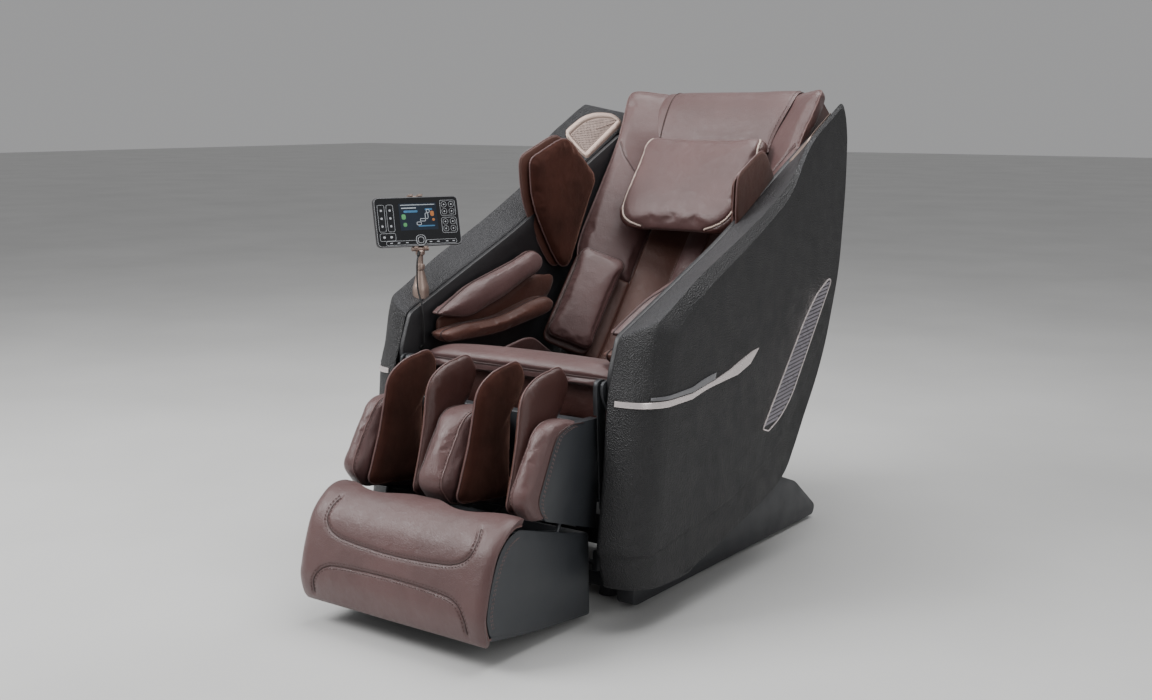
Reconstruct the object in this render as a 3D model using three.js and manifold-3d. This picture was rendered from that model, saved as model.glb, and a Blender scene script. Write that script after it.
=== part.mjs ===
// Massage chair: a base on the floor, an upper body that rocks back on a circular cradle, a legrest
// that lifts at the knees with a foot box that slides out, a massage carriage behind the back
// cushion, and a tablet on a stem.
// Millimetres. +Z is up, -Y is the way the sitter faces, +X is the sitter's left.
import * as THREE from "three";
import { mergeVertices } from "three/addons/utils/BufferGeometryUtils.js";
import Module from "manifold-3d";

const wasm = await Module();
wasm.setup();

// Driving dimensions.
const GAP = 0.4; // clearance between touching pieces
const CENTRE_SHIFT_Y = 183; // moves the model so that its box is centred on the origin

const PANEL_INNER = 290; // side panel, from the centre plane
const PANEL_OUTER = 384;
const PANEL_WALL = 6;
const TRIM_PROUD = 2.6; // how far light strips and vents stand out of a side panel

const TILT_CENTRE = { y: -450, z: 830 }; // centre of the cradle's arc
const RUNNER_RADIUS = 742;
const RUNNER_X = 222;
const RUNNER_THICK = 14;
const ROLLER_RADIUS = 20;

const LEG_PIVOT = { y: -560, z: 500 };
const LEG_HALF = 250; // calf housing, half width
const LEG_SKIN = 22; // thickness of the housing's side covers

const FOOT_HALF = 240;
const FOOT_WALL = 12;

const CUSHION_HALF = 266;
const BACK_FOOT = { y: -80, z: 440 }; // where the back's front plane meets the seat
const BACK_LEAN = THREE.MathUtils.degToRad(-38); // back plane, turned from upright
const BACK_LENGTH = 812;

const BASE_HALF = 286;
const BASE_COVER_WIDTH = 42;

const HOLDER = { x: -307, y: -470, z: 648 }; // foot of the tablet's stem
const TABLET = { width: 206, height: 114, thick: 12 };
const TABLET_TURN = THREE.MathUtils.degToRad(64); // the screen looks across the seat
const TABLET_LEAN = THREE.MathUtils.degToRad(-14);
const CABLE_RADIUS = 2;

// Materials, by name.
const finish = (color, roughness, metalness = 0) =>
  new THREE.MeshStandardMaterial({ color, roughness, metalness });
const MATERIALS = {
  shell: finish(0x26272a, 0.55),
  base: finish(0x2b2c2f, 0.5),
  housing: finish(0x2f3136, 0.45),
  leather: finish(0x543a3d, 0.42),
  brown: finish(0x44231f, 0.5),
  suede: finish(0x2d1712, 0.9),
  steel: finish(0x3a3d42, 0.45, 0.7),
  silver: finish(0xc9b4ad, 0.3, 0.85),
  champagne: finish(0xb9a094, 0.35, 0.8),
  plastic: finish(0x1a1b1d, 0.5),
  rubber: finish(0x161616, 0.85),
  glass: finish(0x08090b, 0.12),
};

// ---- Shape helpers ----

const AXIS_X = new THREE.Vector3(1, 0, 0);
const AXIS_Y = new THREE.Vector3(0, 1, 0);
const AXIS_Z = new THREE.Vector3(0, 0, 1);
const SIDE_VIEW = new THREE.Matrix4().makeBasis(AXIS_Y, AXIS_Z, AXIS_X);
const FRONT_VIEW = new THREE.Matrix4().makeBasis(AXIS_X, AXIS_Z, AXIS_Y.clone().negate());

function toSolid(geometry) {
  if (geometry.userData.solid) return geometry.userData.solid;
  const bare = geometry.clone();
  bare.deleteAttribute("normal");
  bare.deleteAttribute("uv");
  const merged = mergeVertices(bare, 1e-3);
  return new wasm.Manifold(
    new wasm.Mesh({
      numProp: 3,
      vertProperties: merged.attributes.position.array,
      triVerts: new Uint32Array(merged.index.array),
    }),
  );
}

function toGeometry(solid) {
  const mesh = solid.getMesh();
  const geometry = new THREE.BufferGeometry()
    .setAttribute("position", new THREE.BufferAttribute(mesh.vertProperties, 3))
    .setIndex(new THREE.BufferAttribute(mesh.triVerts, 1));
  geometry.computeVertexNormals();
  geometry.userData.solid = solid;
  return geometry;
}

const join = (first, ...others) =>
  toGeometry(others.reduce((whole, other) => whole.add(toSolid(other)), toSolid(first)));
const cut = (first, ...tools) =>
  toGeometry(tools.reduce((whole, tool) => whole.subtract(toSolid(tool)), toSolid(first)));
const common = (first, second) => toGeometry(toSolid(first).intersect(toSolid(second)));

// A closed outline from [u, v, reach] corners: each corner is rounded over reach along its edges,
// or over a little under half of a shorter edge.
function outline(corners) {
  const shape = new THREE.Shape();
  corners.forEach(([u, v, wanted = 0], i) => {
    const corner = new THREE.Vector2(u, v);
    const along = ([nextU, nextV]) => {
      const edge = new THREE.Vector2(nextU - u, nextV - v);
      return corner.clone().add(edge.clone().setLength(Math.min(wanted, edge.length() * 0.48)));
    };
    const start = along(corners.at(i - 1));
    if (i === 0) shape.moveTo(start.x, start.y);
    else shape.lineTo(start.x, start.y);
    if (wanted) {
      const end = along(corners[(i + 1) % corners.length]);
      shape.quadraticCurveTo(u, v, end.x, end.y);
    }
  });
  shape.closePath();
  return shape;
}

// The same outline moved inwards by a distance, or outwards by a negative one.
function inset(shape, distance, fineness = 3) {
  const points = shape.extractPoints(fineness).shape;
  if (points[0].distanceTo(points.at(-1)) < 1e-6) points.pop();
  const inward = THREE.ShapeUtils.isClockWise(points) ? -1 : 1;
  const edge = (a, b) => b.clone().sub(a).normalize();
  const moved = points.map((point, i) => {
    const before = edge(points.at(i - 1), point);
    const after = edge(point, points[(i + 1) % points.length]);
    const normal = new THREE.Vector2(-before.y - after.y, before.x + after.x).normalize();
    const reach = distance / Math.max(0.5, normal.dot(new THREE.Vector2(-before.y, before.x)));
    return point.clone().addScaledVector(normal, reach * inward);
  });
  return new THREE.Shape(moved);
}

const extrude = (shape, depth, steps = 1, fineness = 3) =>
  new THREE.ExtrudeGeometry(shape, {
    depth,
    steps,
    bevelEnabled: false,
    curveSegments: fineness,
  });

// An outline seen from the side (y, z), carried across from one x to another.
const across = (shape, fromX, toX, steps, fineness) =>
  extrude(shape, toX - fromX, steps, fineness).applyMatrix4(SIDE_VIEW).translate(fromX, 0, 0);

// An outline seen from above (x, y), carried up from one z to another.
const upwards = (shape, fromZ, toZ, steps, fineness) =>
  extrude(shape, toZ - fromZ, steps, fineness).translate(0, 0, fromZ);

const block = (fromX, toX, fromY, toY, fromZ, toZ) =>
  new THREE.BoxGeometry(toX - fromX, toY - fromY, toZ - fromZ).translate(
    (fromX + toX) / 2,
    (fromY + toY) / 2,
    (fromZ + toZ) / 2,
  );

// A round bar between two [x, y, z] points, which may taper.
function bar(from, to, radius, endRadius = radius, sides = 10) {
  const start = new THREE.Vector3(...from);
  const reach = new THREE.Vector3(...to).sub(start);
  const turn = new THREE.Quaternion().setFromUnitVectors(AXIS_Y, reach.clone().normalize());
  return new THREE.CylinderGeometry(endRadius, radius, reach.length(), sides)
    .translate(0, reach.length() / 2, 0)
    .applyQuaternion(turn)
    .translate(start.x, start.y, start.z);
}

// The same shape on the other side of the centre plane, with its faces turned round to face out again.
function mirrored(geometry) {
  const copy = mergeVertices(geometry.clone().deleteAttribute("normal").deleteAttribute("uv"), 1e-3);
  copy.scale(-1, 1, 1);
  copy.userData = {};
  const { array } = copy.index;
  for (let corner = 0; corner < array.length; corner += 3) {
    [array[corner + 1], array[corner + 2]] = [array[corner + 2], array[corner + 1]];
  }
  copy.computeVertexNormals();
  return copy;
}

// A flat pad with rounded corners and edges: width along x, length along z, thickness along y.
function pad(width, length, thick, corner) {
  const edge = Math.min(thick * 0.3, 8);
  const u = width / 2 - edge;
  const v = length / 2 - edge;
  const shape = outline([
    [-u, -v, corner],
    [u, -v, corner],
    [u, v, corner],
    [-u, v, corner],
  ]);
  return new THREE.ExtrudeGeometry(shape, {
    depth: thick - 2 * edge,
    bevelThickness: edge,
    bevelSize: edge,
    bevelSegments: 2,
    curveSegments: 3,
  })
    .translate(0, 0, edge - thick / 2)
    .applyMatrix4(FRONT_VIEW);
}

const smooth = THREE.MathUtils.smoothstep;

// Points on the arc around the tilt centre; angles are in degrees back from straight down.
function arcPoints(radius, fromAngle, toAngle, count) {
  return Array.from({ length: count + 1 }, (_, i) => {
    const angle = THREE.MathUtils.degToRad(fromAngle + ((toAngle - fromAngle) * i) / count);
    return new THREE.Vector2(
      TILT_CENTRE.y + radius * Math.sin(angle),
      TILT_CENTRE.z - radius * Math.cos(angle),
    );
  });
}

// ---- The chair as a scene graph ----

const chair = new THREE.Group();
chair.position.y = CENTRE_SHIFT_Y;
const back = new THREE.Group(); // its own z runs up the back, its own -y faces the sitter
back.position.set(0, BACK_FOOT.y, BACK_FOOT.z);
back.rotation.x = BACK_LEAN;
chair.add(back);

function piece(name, geometry, material, parent = chair) {
  const mesh = new THREE.Mesh(geometry, MATERIALS[material]);
  mesh.name = name;
  parent.add(mesh);
  return mesh;
}

// The geometry is the sitter's left piece, and the right one mirrors it.
function pair(name, geometry, material, parent = chair) {
  piece(`${name}_left`, geometry, material, parent);
  piece(`${name}_right`, geometry, material, parent).scale.x = -1;
}

// ---- Base ----

const RAIL_HALF = 180; // rails of the base frame, from the centre plane
const SHAFT_RADIUS = 6;
const SHAFT_HOLE = 6.6; // every hole that such a shaft turns in
const WHEEL = { x: 218, y: 345, z: 27, radius: 26, width: 24 };
const rollerPlaces = [2, 18].map((angle) => {
  const [point] = arcPoints(RUNNER_RADIUS + ROLLER_RADIUS + 1, angle, angle, 1);
  return { y: point.x, z: point.y };
});
function baseFrame() {
  const rail = block(RAIL_HALF - 20, RAIL_HALF + 20, -440, 356, 24, 54);
  const feet = [-410, 300].map((y) => bar([RAIL_HALF, y, 0], [RAIL_HALF, y, 30], 24, 20));
  const crossBars = [-440, -200, 130, 270].map((y) =>
    block(-RAIL_HALF, RAIL_HALF, y, y + 40, 24, 54));
  // Ears that carry the two roller shafts of the cradle.
  const ears = rollerPlaces.map(({ y, z }) =>
    block(RAIL_HALF - 14, RAIL_HALF, y - 14, y + 14, 40, z + 12));
  const holes = rollerPlaces.map(({ y, z }) =>
    bar([RAIL_HALF - 30, y, z], [RAIL_HALF + 30, y, z], SHAFT_HOLE));
  const axleEnd = [WHEEL.x + 30, WHEEL.y, WHEEL.z];
  const wheelAxle = bar([RAIL_HALF - 5, WHEEL.y, WHEEL.z], axleEnd, SHAFT_RADIUS);
  const side = cut(join(rail, ...feet, ...ears, wheelAxle), ...holes);
  return join(side, mirrored(side), ...crossBars);
}

piece("base_frame", baseFrame(), "steel");

const coverOutline = outline([
  [-476, 10, 16],
  [-474, 62, 22],
  [-300, 74, 60],
  [-200, 101, 40],
  [-43, 144, 30],
  [106, 160, 14],
  [142, 168, 10],
  [269, 121, 14],
  [386, 32, 14],
  [374, 10, 8],
]);
const coverCavity = across(inset(coverOutline, 4), BASE_HALF - BASE_COVER_WIDTH - 1, BASE_HALF - 5);
const baseCover = cut(
  across(coverOutline, BASE_HALF - BASE_COVER_WIDTH, BASE_HALF),
  coverCavity,
);
pair("base_cover", baseCover, "base");

const REAR_COVER_HALF = 155;
const rearCoverOutline = outline([
  [316, 10, 4],
  [374, 10, 8],
  [386, 32, 12],
  [316, 84, 6],
]);
const inletHole = block(-62, 62, 366, 400, 14, 52);
const rearCover = cut(
  across(rearCoverOutline, -REAR_COVER_HALF, REAR_COVER_HALF),
  block(-REAR_COVER_HALF + 5, REAR_COVER_HALF - 5, 300, 366, 5, 74),
  inletHole,
);
piece("base_rear_cover", rearCover, "base");

const powerPanel = cut(
  block(-60, 60, 367, 376, 16, 50),
  block(-46, -14, 371, 380, 22, 44), // mains inlet recess
  block(10, 36, 360, 380, 23, 43), // window for the rocker switch
);
piece("power_panel", powerPanel, "plastic");
const rockerOutline = outline([
  [368, 24.5, 3],
  [379, 26, 2],
  [377, 33, 0],
  [379, 40, 2],
  [368, 41.5, 3],
]);
piece("power_switch", across(rockerOutline, 11, 35), "plastic");

const alongWheelAxle = (half, radius) =>
  bar([WHEEL.x - half, WHEEL.y, WHEEL.z], [WHEEL.x + half, WHEEL.y, WHEEL.z], radius, radius, 20);
const wheel = cut(alongWheelAxle(WHEEL.width / 2, WHEEL.radius), alongWheelAxle(40, SHAFT_HOLE));
pair("transport_wheel", wheel, "rubber");

piece("air_pump", block(34, 160, 60, 240, 60, 140), "plastic");
piece("control_box", block(-165, -34, 60, 240, 60, 120), "plastic");

function rollerShaft({ y, z }) {
  const shaft = bar([-200, y, z], [200, y, z], 6);
  const rollers = [-1, 1].map((side) =>
    bar([side * (RUNNER_X - 10), y, z], [side * (RUNNER_X + 10), y, z], ROLLER_RADIUS, ROLLER_RADIUS, 18),
  );
  const reach = [-1, 1].map((side) => bar([side * 190, y, z], [side * RUNNER_X, y, z], 6));
  return join(shaft, ...reach, ...rollers);
}
piece("cradle_roller_front", rollerShaft(rollerPlaces[0]), "steel");
piece("cradle_roller_rear", rollerShaft(rollerPlaces[1]), "steel");

// The gear motor turns the rear shaft, whose rollers drive the cradle's runners.
const [, REAR_SHAFT] = rollerPlaces;
const gearMotor = cut(
  join(
    block(-36, 36, REAR_SHAFT.y - 24, REAR_SHAFT.y + 60, 54 + GAP, 112),
    bar([36, REAR_SHAFT.y + 30, 84], [128, REAR_SHAFT.y + 30, 84], 25, 25, 16),
  ),
  bar([-60, REAR_SHAFT.y, REAR_SHAFT.z], [60, REAR_SHAFT.y, REAR_SHAFT.z], 6.6),
);
piece("tilt_gear_motor", gearMotor, "plastic");

// ---- Legrest actuator ----

const ACTUATOR = { radius: 17, length: 310, boxRadius: 26, rodRadius: 8 };
const ROD_CLEARANCE = 16; // the rod stops short of the clevis pin it pushes
const LEG_MOTOR = { y: -150, z: 296 };
const LEG_EYE_Y = -528; // centre of the clevis on the legrest frame

// A point in the centre plane, at a distance in front of the motor's pin.
const ahead = (distance) => [0, LEG_MOTOR.y - distance, LEG_MOTOR.z];
const { radius: tubeRadius, length: tubeLength } = ACTUATOR;
const actuatorTube = cut(
  bar(ahead(20), ahead(tubeLength), tubeRadius, tubeRadius, 14),
  bar(ahead(60), ahead(tubeLength + 5), tubeRadius - 5, tubeRadius - 5, 14),
);
const actuatorEye = bar([-16, LEG_MOTOR.y, LEG_MOTOR.z], [16, LEG_MOTOR.y, LEG_MOTOR.z], 16, 16, 14);
const actuatorBox = bar(ahead(10), ahead(56), ACTUATOR.boxRadius, ACTUATOR.boxRadius, 14);
const motorPinHole = bar([-30, LEG_MOTOR.y, LEG_MOTOR.z], [30, LEG_MOTOR.y, LEG_MOTOR.z], 6.6);
piece("legrest_motor", cut(join(actuatorEye, actuatorBox, actuatorTube), motorPinHole), "plastic");
const rodEnd = LEG_MOTOR.y - LEG_EYE_Y - ROD_CLEARANCE;
piece("legrest_rod", bar(ahead(70), ahead(rodEnd), ACTUATOR.rodRadius), "silver");

// ---- Upper body: frame ----

function seatFrame() {
  // Cradle runner: its lower edge is the arc that rolls on the base.
  const lower = arcPoints(RUNNER_RADIUS, -6, 44, 12);
  const upper = arcPoints(RUNNER_RADIUS - 42, -6, 44, 12).reverse();
  const runner = across(new THREE.Shape([...lower, ...upper]), RUNNER_X - RUNNER_THICK / 2,
    RUNNER_X + RUNNER_THICK / 2);
  const upright = (y, fromZ) => block(RUNNER_X - 7, RUNNER_X + 7, y - 18, y + 18, fromZ, 372);
  const seatRail = block(RUNNER_X - 10, RUNNER_X + 10, -506, -10, 346, 372);
  const armOutline = outline([
    [-420, 346, 10],
    [-420, 392, 10],
    [-541, 512, 20],
    [-578, 512, 18],
    [-578, 478, 18],
    [-500, 372, 20],
    [-470, 346, 4],
  ]);
  const arm = across(armOutline, 270, 276);
  const armFoot = block(RUNNER_X, 276, -470, -420, 350, 372);
  const pin = bar([258, LEG_PIVOT.y, LEG_PIVOT.z], [274, LEG_PIVOT.y, LEG_PIVOT.z], 8);
  const side = join(runner, upright(-470, 106), upright(-60, 240), seatRail, arm, armFoot, pin);
  const crossTubes = [-488, -24].map((y) => bar([-RUNNER_X, y, 362], [RUNNER_X, y, 362], 9, 9, 8));
  const lowTube = bar([-RUNNER_X, -130, 196], [RUNNER_X, -130, 196], 10, 10, 8);
  const motorTube = bar([-RUNNER_X, LEG_MOTOR.y + 6, 360], [RUNNER_X, LEG_MOTOR.y + 6, 360], 9, 9, 8);
  const motorEars = [-44, 32].map((x) =>
    block(x, x + 12, LEG_MOTOR.y - 12, LEG_MOTOR.y + 12, LEG_MOTOR.z - 12, 362));
  const motorPin = bar([-34, LEG_MOTOR.y, LEG_MOTOR.z], [34, LEG_MOTOR.y, LEG_MOTOR.z], 6);
  return join(side, mirrored(side), ...crossTubes, lowTube, motorTube, ...motorEars, motorPin);
}
piece("seat_frame", seatFrame(), "steel");

// Back frame, in the back's own directions: two rails for the carriage and their cross members.
const CARRIAGE_RAIL = { x: 128, y: 176, radius: 9 };
function backFrame() {
  const rail = bar([CARRIAGE_RAIL.x, CARRIAGE_RAIL.y, 62], [CARRIAGE_RAIL.x, CARRIAGE_RAIL.y, 694],
    CARRIAGE_RAIL.radius);
  const stile = block(168, 190, 120, 190, 54, 700);
  const ties = [60, 674].map((z) => block(120, 180, 164, 188, z, z + 24));
  const side = join(rail, stile, ...ties);
  const crossBars = [60, 680].map((z) => block(-172, 172, 164, 188, z, z + 18));
  return join(side, mirrored(side), ...crossBars);
}
piece("back_frame", backFrame(), "steel", back);

// ---- Upper body: side panels ----

const panelOutline = outline([
  [-598, 84, 14],
  [-622, 150, 34],
  [-600, 292, 60],
  [-582, 483, 30],
  [-566, 523, 20],
  [-539, 600, 12],
  [-322, 690, 50],
  [-163, 756, 50],
  [9, 838, 60],
  [194, 932, 50],
  [324, 996, 30],
  [412, 1042, 24],
  [440, 1000, 30],
  [440, 871, 60],
  [417, 668, 60],
  [350, 484, 60],
  [287, 372, 50],
  [205, 285, 50],
  [90, 222, 40],
  [-51, 173, 40],
  [-299, 106, 60],
  [-469, 82, 40],
]);
const PANEL_STEPS = 5;
const PANEL_FINENESS = 2;
const FRONT_ROUND = 88; // plan rounding at the front edge
const REAR_TAPER = 140; // how far the rear edge runs in towards the outer face
const RIDGE_RISE = 30; // the arm cap slopes down from its outer ridge to the seat

// Rounds the panel in plan and slopes its top, as a function of the distance from the inner face.
function shapePanel(geometry) {
  const place = geometry.attributes.position;
  const width = PANEL_OUTER - PANEL_INNER;
  for (let i = 0; i < place.count; i++) {
    const y = place.getY(i);
    const z = place.getZ(i);
    const out = THREE.MathUtils.clamp((place.getX(i) - PANEL_INNER) / width, 0, 1);
    const front = 1 - smooth(y, -540, -330);
    const rear = smooth(y, -40, 300);
    const topLine = 600 + (y + 539) * 0.471;
    const top = smooth(z - topLine, -70, -25);
    const roundIn = 1 - Math.sqrt(1 - out * out);
    place.setY(i, y + FRONT_ROUND * front * roundIn - REAR_TAPER * rear * out);
    place.setZ(i, z + RIDGE_RISE * top * Math.sin(Math.min(out / 0.88, 1.08) * (Math.PI / 2)));
  }
  return geometry;
}
// The panel's shape, grown by a distance or shrunk by a negative one, from a given inner face.
function panelSolid(grow, innerFace = PANEL_INNER) {
  const shape = inset(panelOutline, -grow, PANEL_FINENESS);
  return shapePanel(across(shape, innerFace, PANEL_OUTER + grow, PANEL_STEPS));
}
const panelCavity = panelSolid(-PANEL_WALL, PANEL_INNER - 1);
pair("side_panel", cut(panelSolid(0), panelCavity), "shell");

const panelSkin = cut(panelSolid(TRIM_PROUD), panelSolid(GAP));
const stripOutline = outline([
  [-640, 492, 0],
  [-640, 466, 0],
  [-560, 462, 30],
  [-362, 478, 60],
  [-231, 486, 16],
  [-170, 530, 3],
  [-305, 505, 40],
  [-420, 487, 60],
  [-560, 480, 30],
]);
const stripReach = across(stripOutline, PANEL_INNER + 8, PANEL_OUTER + 10);
pair("light_strip", common(panelSkin, stripReach), "silver");

const ventOutline = outline([
  [-101, 338, 6],
  [-72, 328, 6],
  [-20, 348, 20],
  [36, 386, 40],
  [236, 646, 20],
  [218, 652, 6],
  [158, 622, 12],
  [100, 572, 40],
]);
// The rear taper moves the surface, so the vent's outline keeps clear of the tapered edge.
const ventReach = across(ventOutline, PANEL_OUTER - 30, PANEL_OUTER + 10);
pair("vent_grille", common(panelSkin, ventReach), "silver");

// Inner wall of each armrest, from the seat up to the arm cap's inner edge.
const armWallOutline = outline([
  [-560, 398, 12],
  [-566, 520, 20],
  [-532, 592, 10],
  [-322, 678, 50],
  [-163, 744, 50],
  [9, 826, 60],
  [194, 920, 50],
  [320, 980, 30],
  [330, 860, 60],
  [120, 560, 60],
  [10, 398, 20],
]);
const armWall = cut(
  across(armWallOutline, 277, PANEL_INNER - GAP),
  block(270, 300, -600, -535, 440, 540), // room for the legrest pivot
);
pair("arm_wall", armWall, "shell");

// ---- Upper body: covers and cushions ----

const backCoverOutline = outline([
  [120, 22, 6],
  [156, -4, 16],
  [222, 56, 40],
  [228, 560, 90],
  [196, 730, 50],
  [140, 806, 40],
  [60, 812, 8],
]);
const BACK_COVER_HALF = 264;
const backCover = cut(
  across(backCoverOutline, -BACK_COVER_HALF, BACK_COVER_HALF),
  across(inset(backCoverOutline, 5), -BACK_COVER_HALF + 5, BACK_COVER_HALF - 5),
  block(-BACK_COVER_HALF + 5, BACK_COVER_HALF - 5, 20, 150, 34, 800),
  block(-BACK_COVER_HALF - 5, BACK_COVER_HALF + 5, 0, 135, -120, 830),
);
piece("back_cover", backCover, "shell", back);

// The back cushion is a bucket: its wings stand forward of a channel down the middle.
const backSection = outline([
  [-CUSHION_HALF, -50, 14],
  [-120, 50, 30],
  [-34, 88, 20],
  [34, 88, 20],
  [120, 50, 30],
  [CUSHION_HALF, -50, 14],
  [CUSHION_HALF, 6, 10],
  [126, 110, 20],
  [36, 130, 20],
  [-36, 130, 20],
  [-126, 110, 20],
  [-CUSHION_HALF, 6, 10],
]);
piece("back_cushion", upwards(backSection, 18, BACK_LENGTH), "leather", back);

const hipPad = pad(124, 268, 30, 26);
const HIP_PAD = { x: 178, y: -20.5, z: 165, turn: THREE.MathUtils.degToRad(-34.5) };
for (const side of [1, -1]) {
  const mesh = piece(`hip_pad_${side > 0 ? "left" : "right"}`, hipPad, "leather", back);
  mesh.position.set(side * HIP_PAD.x, HIP_PAD.y, HIP_PAD.z);
  mesh.rotation.z = side * HIP_PAD.turn;
}

const pillow = pad(392, 306, 62, 60);
piece("head_pillow", pillow, "leather", back).position.set(0, -38, 512);

const flapOutline = outline([
  [-27, 676, 3],
  [-17, 676, 3],
  [-17, 818, 10],
  [150, 822, 6],
  [150, 834, 4],
  [-10, 838, 16],
  [-30, 800, 30],
]);
piece("head_flap", across(flapOutline, -200, 200), "leather", back);

const seatOutline = outline([
  [-524, 486, 6],
  [-528, 508, 12],
  [-505, 527, 16],
  [-300, 484, 80],
  [-110, 442, 30],
  [-92, 380, 6],
  [-500, 378, 6],
]);
piece("seat_cushion", across(seatOutline, -262, 262), "leather");

const shoulderOutline = outline([
  [-108, 918, 26],
  [-96, 936, 12],
  [24, 986, 30],
  [58, 974, 20],
  [152, 880, 20],
  [31, 652, 26],
  [-8, 652, 20],
  [-46, 704, 40],
  [-104, 822, 40],
]);
// The pads lean outwards, the more so the further forward and up from their foot.
const SHOULDER_FLARE = { foot: { y: 31, z: 652 }, perY: -0.093, perZ: 0.049 };
function flared(geometry) {
  const place = geometry.attributes.position;
  const { foot, perY, perZ } = SHOULDER_FLARE;
  for (let i = 0; i < place.count; i++) {
    const lean = perY * (place.getY(i) - foot.y) + perZ * (place.getZ(i) - foot.z);
    place.setX(i, place.getX(i) + lean);
  }
  return geometry;
}
const armWallRoom = across(inset(armWallOutline, -GAP), 277 - GAP, 300);
const shoulderPad = cut(flared(across(shoulderOutline, 242, 265)), armWallRoom);
pair("shoulder_pad", shoulderPad, "suede");

const upperArmOutline = outline([
  [-494, 594, 10],
  [-396, 575, 40],
  [-264, 606, 30],
  [-112, 662, 20],
  [-100, 697, 14],
  [-134, 723, 14],
  [-372, 662, 40],
]);
pair("upper_arm_pad", across(upperArmOutline, 214, 270), "leather");
// The lower pad stands higher behind the elbow, in a narrower part beside the hip pad.
const elbowOutline = outline([
  [-240, 572, 10],
  [-176, 624, 30],
  [-116, 642, 20],
  [-12, 638, 24],
  [-36, 586, 20],
  [-66, 560, 10],
  [-120, 560, 10],
]);
const lowerArmOutline = outline([
  [-500, 556, 12],
  [-480, 532, 16],
  [-290, 530, 40],
  [-92, 556, 16],
  [-76, 584, 16],
  [-104, 600, 20],
  [-290, 562, 40],
  [-480, 562, 10],
]);
const lowerArmPad = join(across(lowerArmOutline, 198, 270), across(elbowOutline, 243, 270));
pair("lower_arm_pad", lowerArmPad, "brown");

// Speakers lie on the rear of the arm caps; their outline is seen from above.
const speakerOutline = outline([
  [294, 168, 12],
  [296, 344, 14],
  [322, 332, 14],
  [346, 288, 30],
  [359, 238, 24],
  [360, 156, 16],
]);
const speakerSkin = cut(panelSolid(7), panelSolid(GAP));
pair("speaker", common(speakerSkin, upwards(speakerOutline, 800, 1150)), "champagne");

// ---- Massage mechanism, in the back's own directions ----

const CARRIAGE = { low: 96, high: 216, front: 162, rear: 198 };
const railClearance = CARRIAGE_RAIL.radius + 1;
const carriage = cut(
  block(-148, 148, CARRIAGE.front, CARRIAGE.rear, CARRIAGE.low, CARRIAGE.high),
  ...[-CARRIAGE_RAIL.x, CARRIAGE_RAIL.x].map((x) =>
    bar([x, CARRIAGE_RAIL.y, 0], [x, CARRIAGE_RAIL.y, 300], railClearance)),
  block(-106, 106, 150, 180, CARRIAGE.low - 1, CARRIAGE.high + 1),
);
const headAxle = bar([-110, 168, 156], [110, 168, 156], 6);
piece("massage_carriage", join(carriage, headAxle), "steel", back);
const massageArm = outline([
  [136, 112, 8],
  [150, 106, 6],
  [176, 150, 8],
  [176, 162, 8],
  [150, 206, 6],
  [136, 200, 8],
  [160, 156, 4],
]);
const massageHead = cut(
  join(
    across(massageArm, 40, 54),
    ...[118, 194].map((z) => bar([28, 150, z], [66, 150, z], 13, 13, 14)),
  ),
  bar([20, 168, 156], [80, 168, 156], 6.6),
);
pair("massage_head", massageHead, "plastic", back);

// ---- Legrest ----

const housingOutline = outline([
  [-540, 430, 14],
  [-642, 434, 30],
  [-694, 420, 20],
  [-744, 330, 40],
  [-758, 293, 16],
  [-738, 256, 14],
  [-566, 200, 6],
]);
const CALF = { innerWall: 46, outerWall: 200 }; // the channels between the bolsters
// The foot box's guide rods run up inside the housing's side covers, along the calf.
const FOOT_GUIDE = { x: 234, y: -700, z: 170, radius: 4.6, length: 215 };
const CALF_DIRECTION = new THREE.Vector2(0.445, 0.896); // up the calf, in (y, z)
const footGuide = (length, radius) =>
  bar(
    [FOOT_GUIDE.x, FOOT_GUIDE.y, FOOT_GUIDE.z],
    [
      FOOT_GUIDE.x,
      FOOT_GUIDE.y + length * CALF_DIRECTION.x,
      FOOT_GUIDE.z + length * CALF_DIRECTION.y,
    ],
    radius,
  );
const guideBore = footGuide(FOOT_GUIDE.length + 10, FOOT_GUIDE.radius + 0.8);
const housingBack = outline([
  [-556, 426, 4],
  [-584, 426, 4],
  [-590, 214, 4],
  [-566, 206, 4],
]);
const housingBody = join(
  across(housingOutline, LEG_HALF - LEG_SKIN, LEG_HALF),
  across(housingOutline, -LEG_HALF, -LEG_HALF + LEG_SKIN),
  across(housingBack, -LEG_HALF + 4, LEG_HALF - 4),
);
const calfHousing = cut(housingBody, guideBore, mirrored(guideBore));
piece("calf_housing", calfHousing, "housing");

const legArmOutline = outline([
  [-544, 512, 12],
  [-576, 512, 12],
  [-578, 486, 12],
  [-566, 240, 4],
  [-548, 240, 4],
  [-546, 430, 4],
]);
const legArm = cut(
  join(across(legArmOutline, 252, 262), block(210, 258, -555, -545, 260, 300)),
  bar([240, LEG_PIVOT.y, LEG_PIVOT.z], [280, LEG_PIVOT.y, LEG_PIVOT.z], 8.6),
);
const legCross = block(-212, 212, -555.6, -545, 262, 298);
const legEyeEars = [-34, 22].map((x) => block(x, x + 12, -555.6, LEG_EYE_Y + 12, 282, 310));
const legFrame = cut(
  join(legArm, mirrored(legArm), legCross, ...legEyeEars),
  across(inset(housingOutline, -GAP), -LEG_HALF - GAP, -LEG_HALF + LEG_SKIN + GAP),
  across(inset(housingOutline, -GAP), LEG_HALF - LEG_SKIN - GAP, LEG_HALF + GAP),
  block(-260, 260, -700, -555.6, 200, 440),
);
piece("legrest_frame", legFrame, "steel");

const bolsterOutline = outline([
  [-591, 430, 6],
  [-650, 447, 30],
  [-716, 446, 30],
  [-762, 384, 30],
  [-806, 306, 24],
  [-772, 258, 16],
  [-596, 222, 6],
]);
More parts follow.
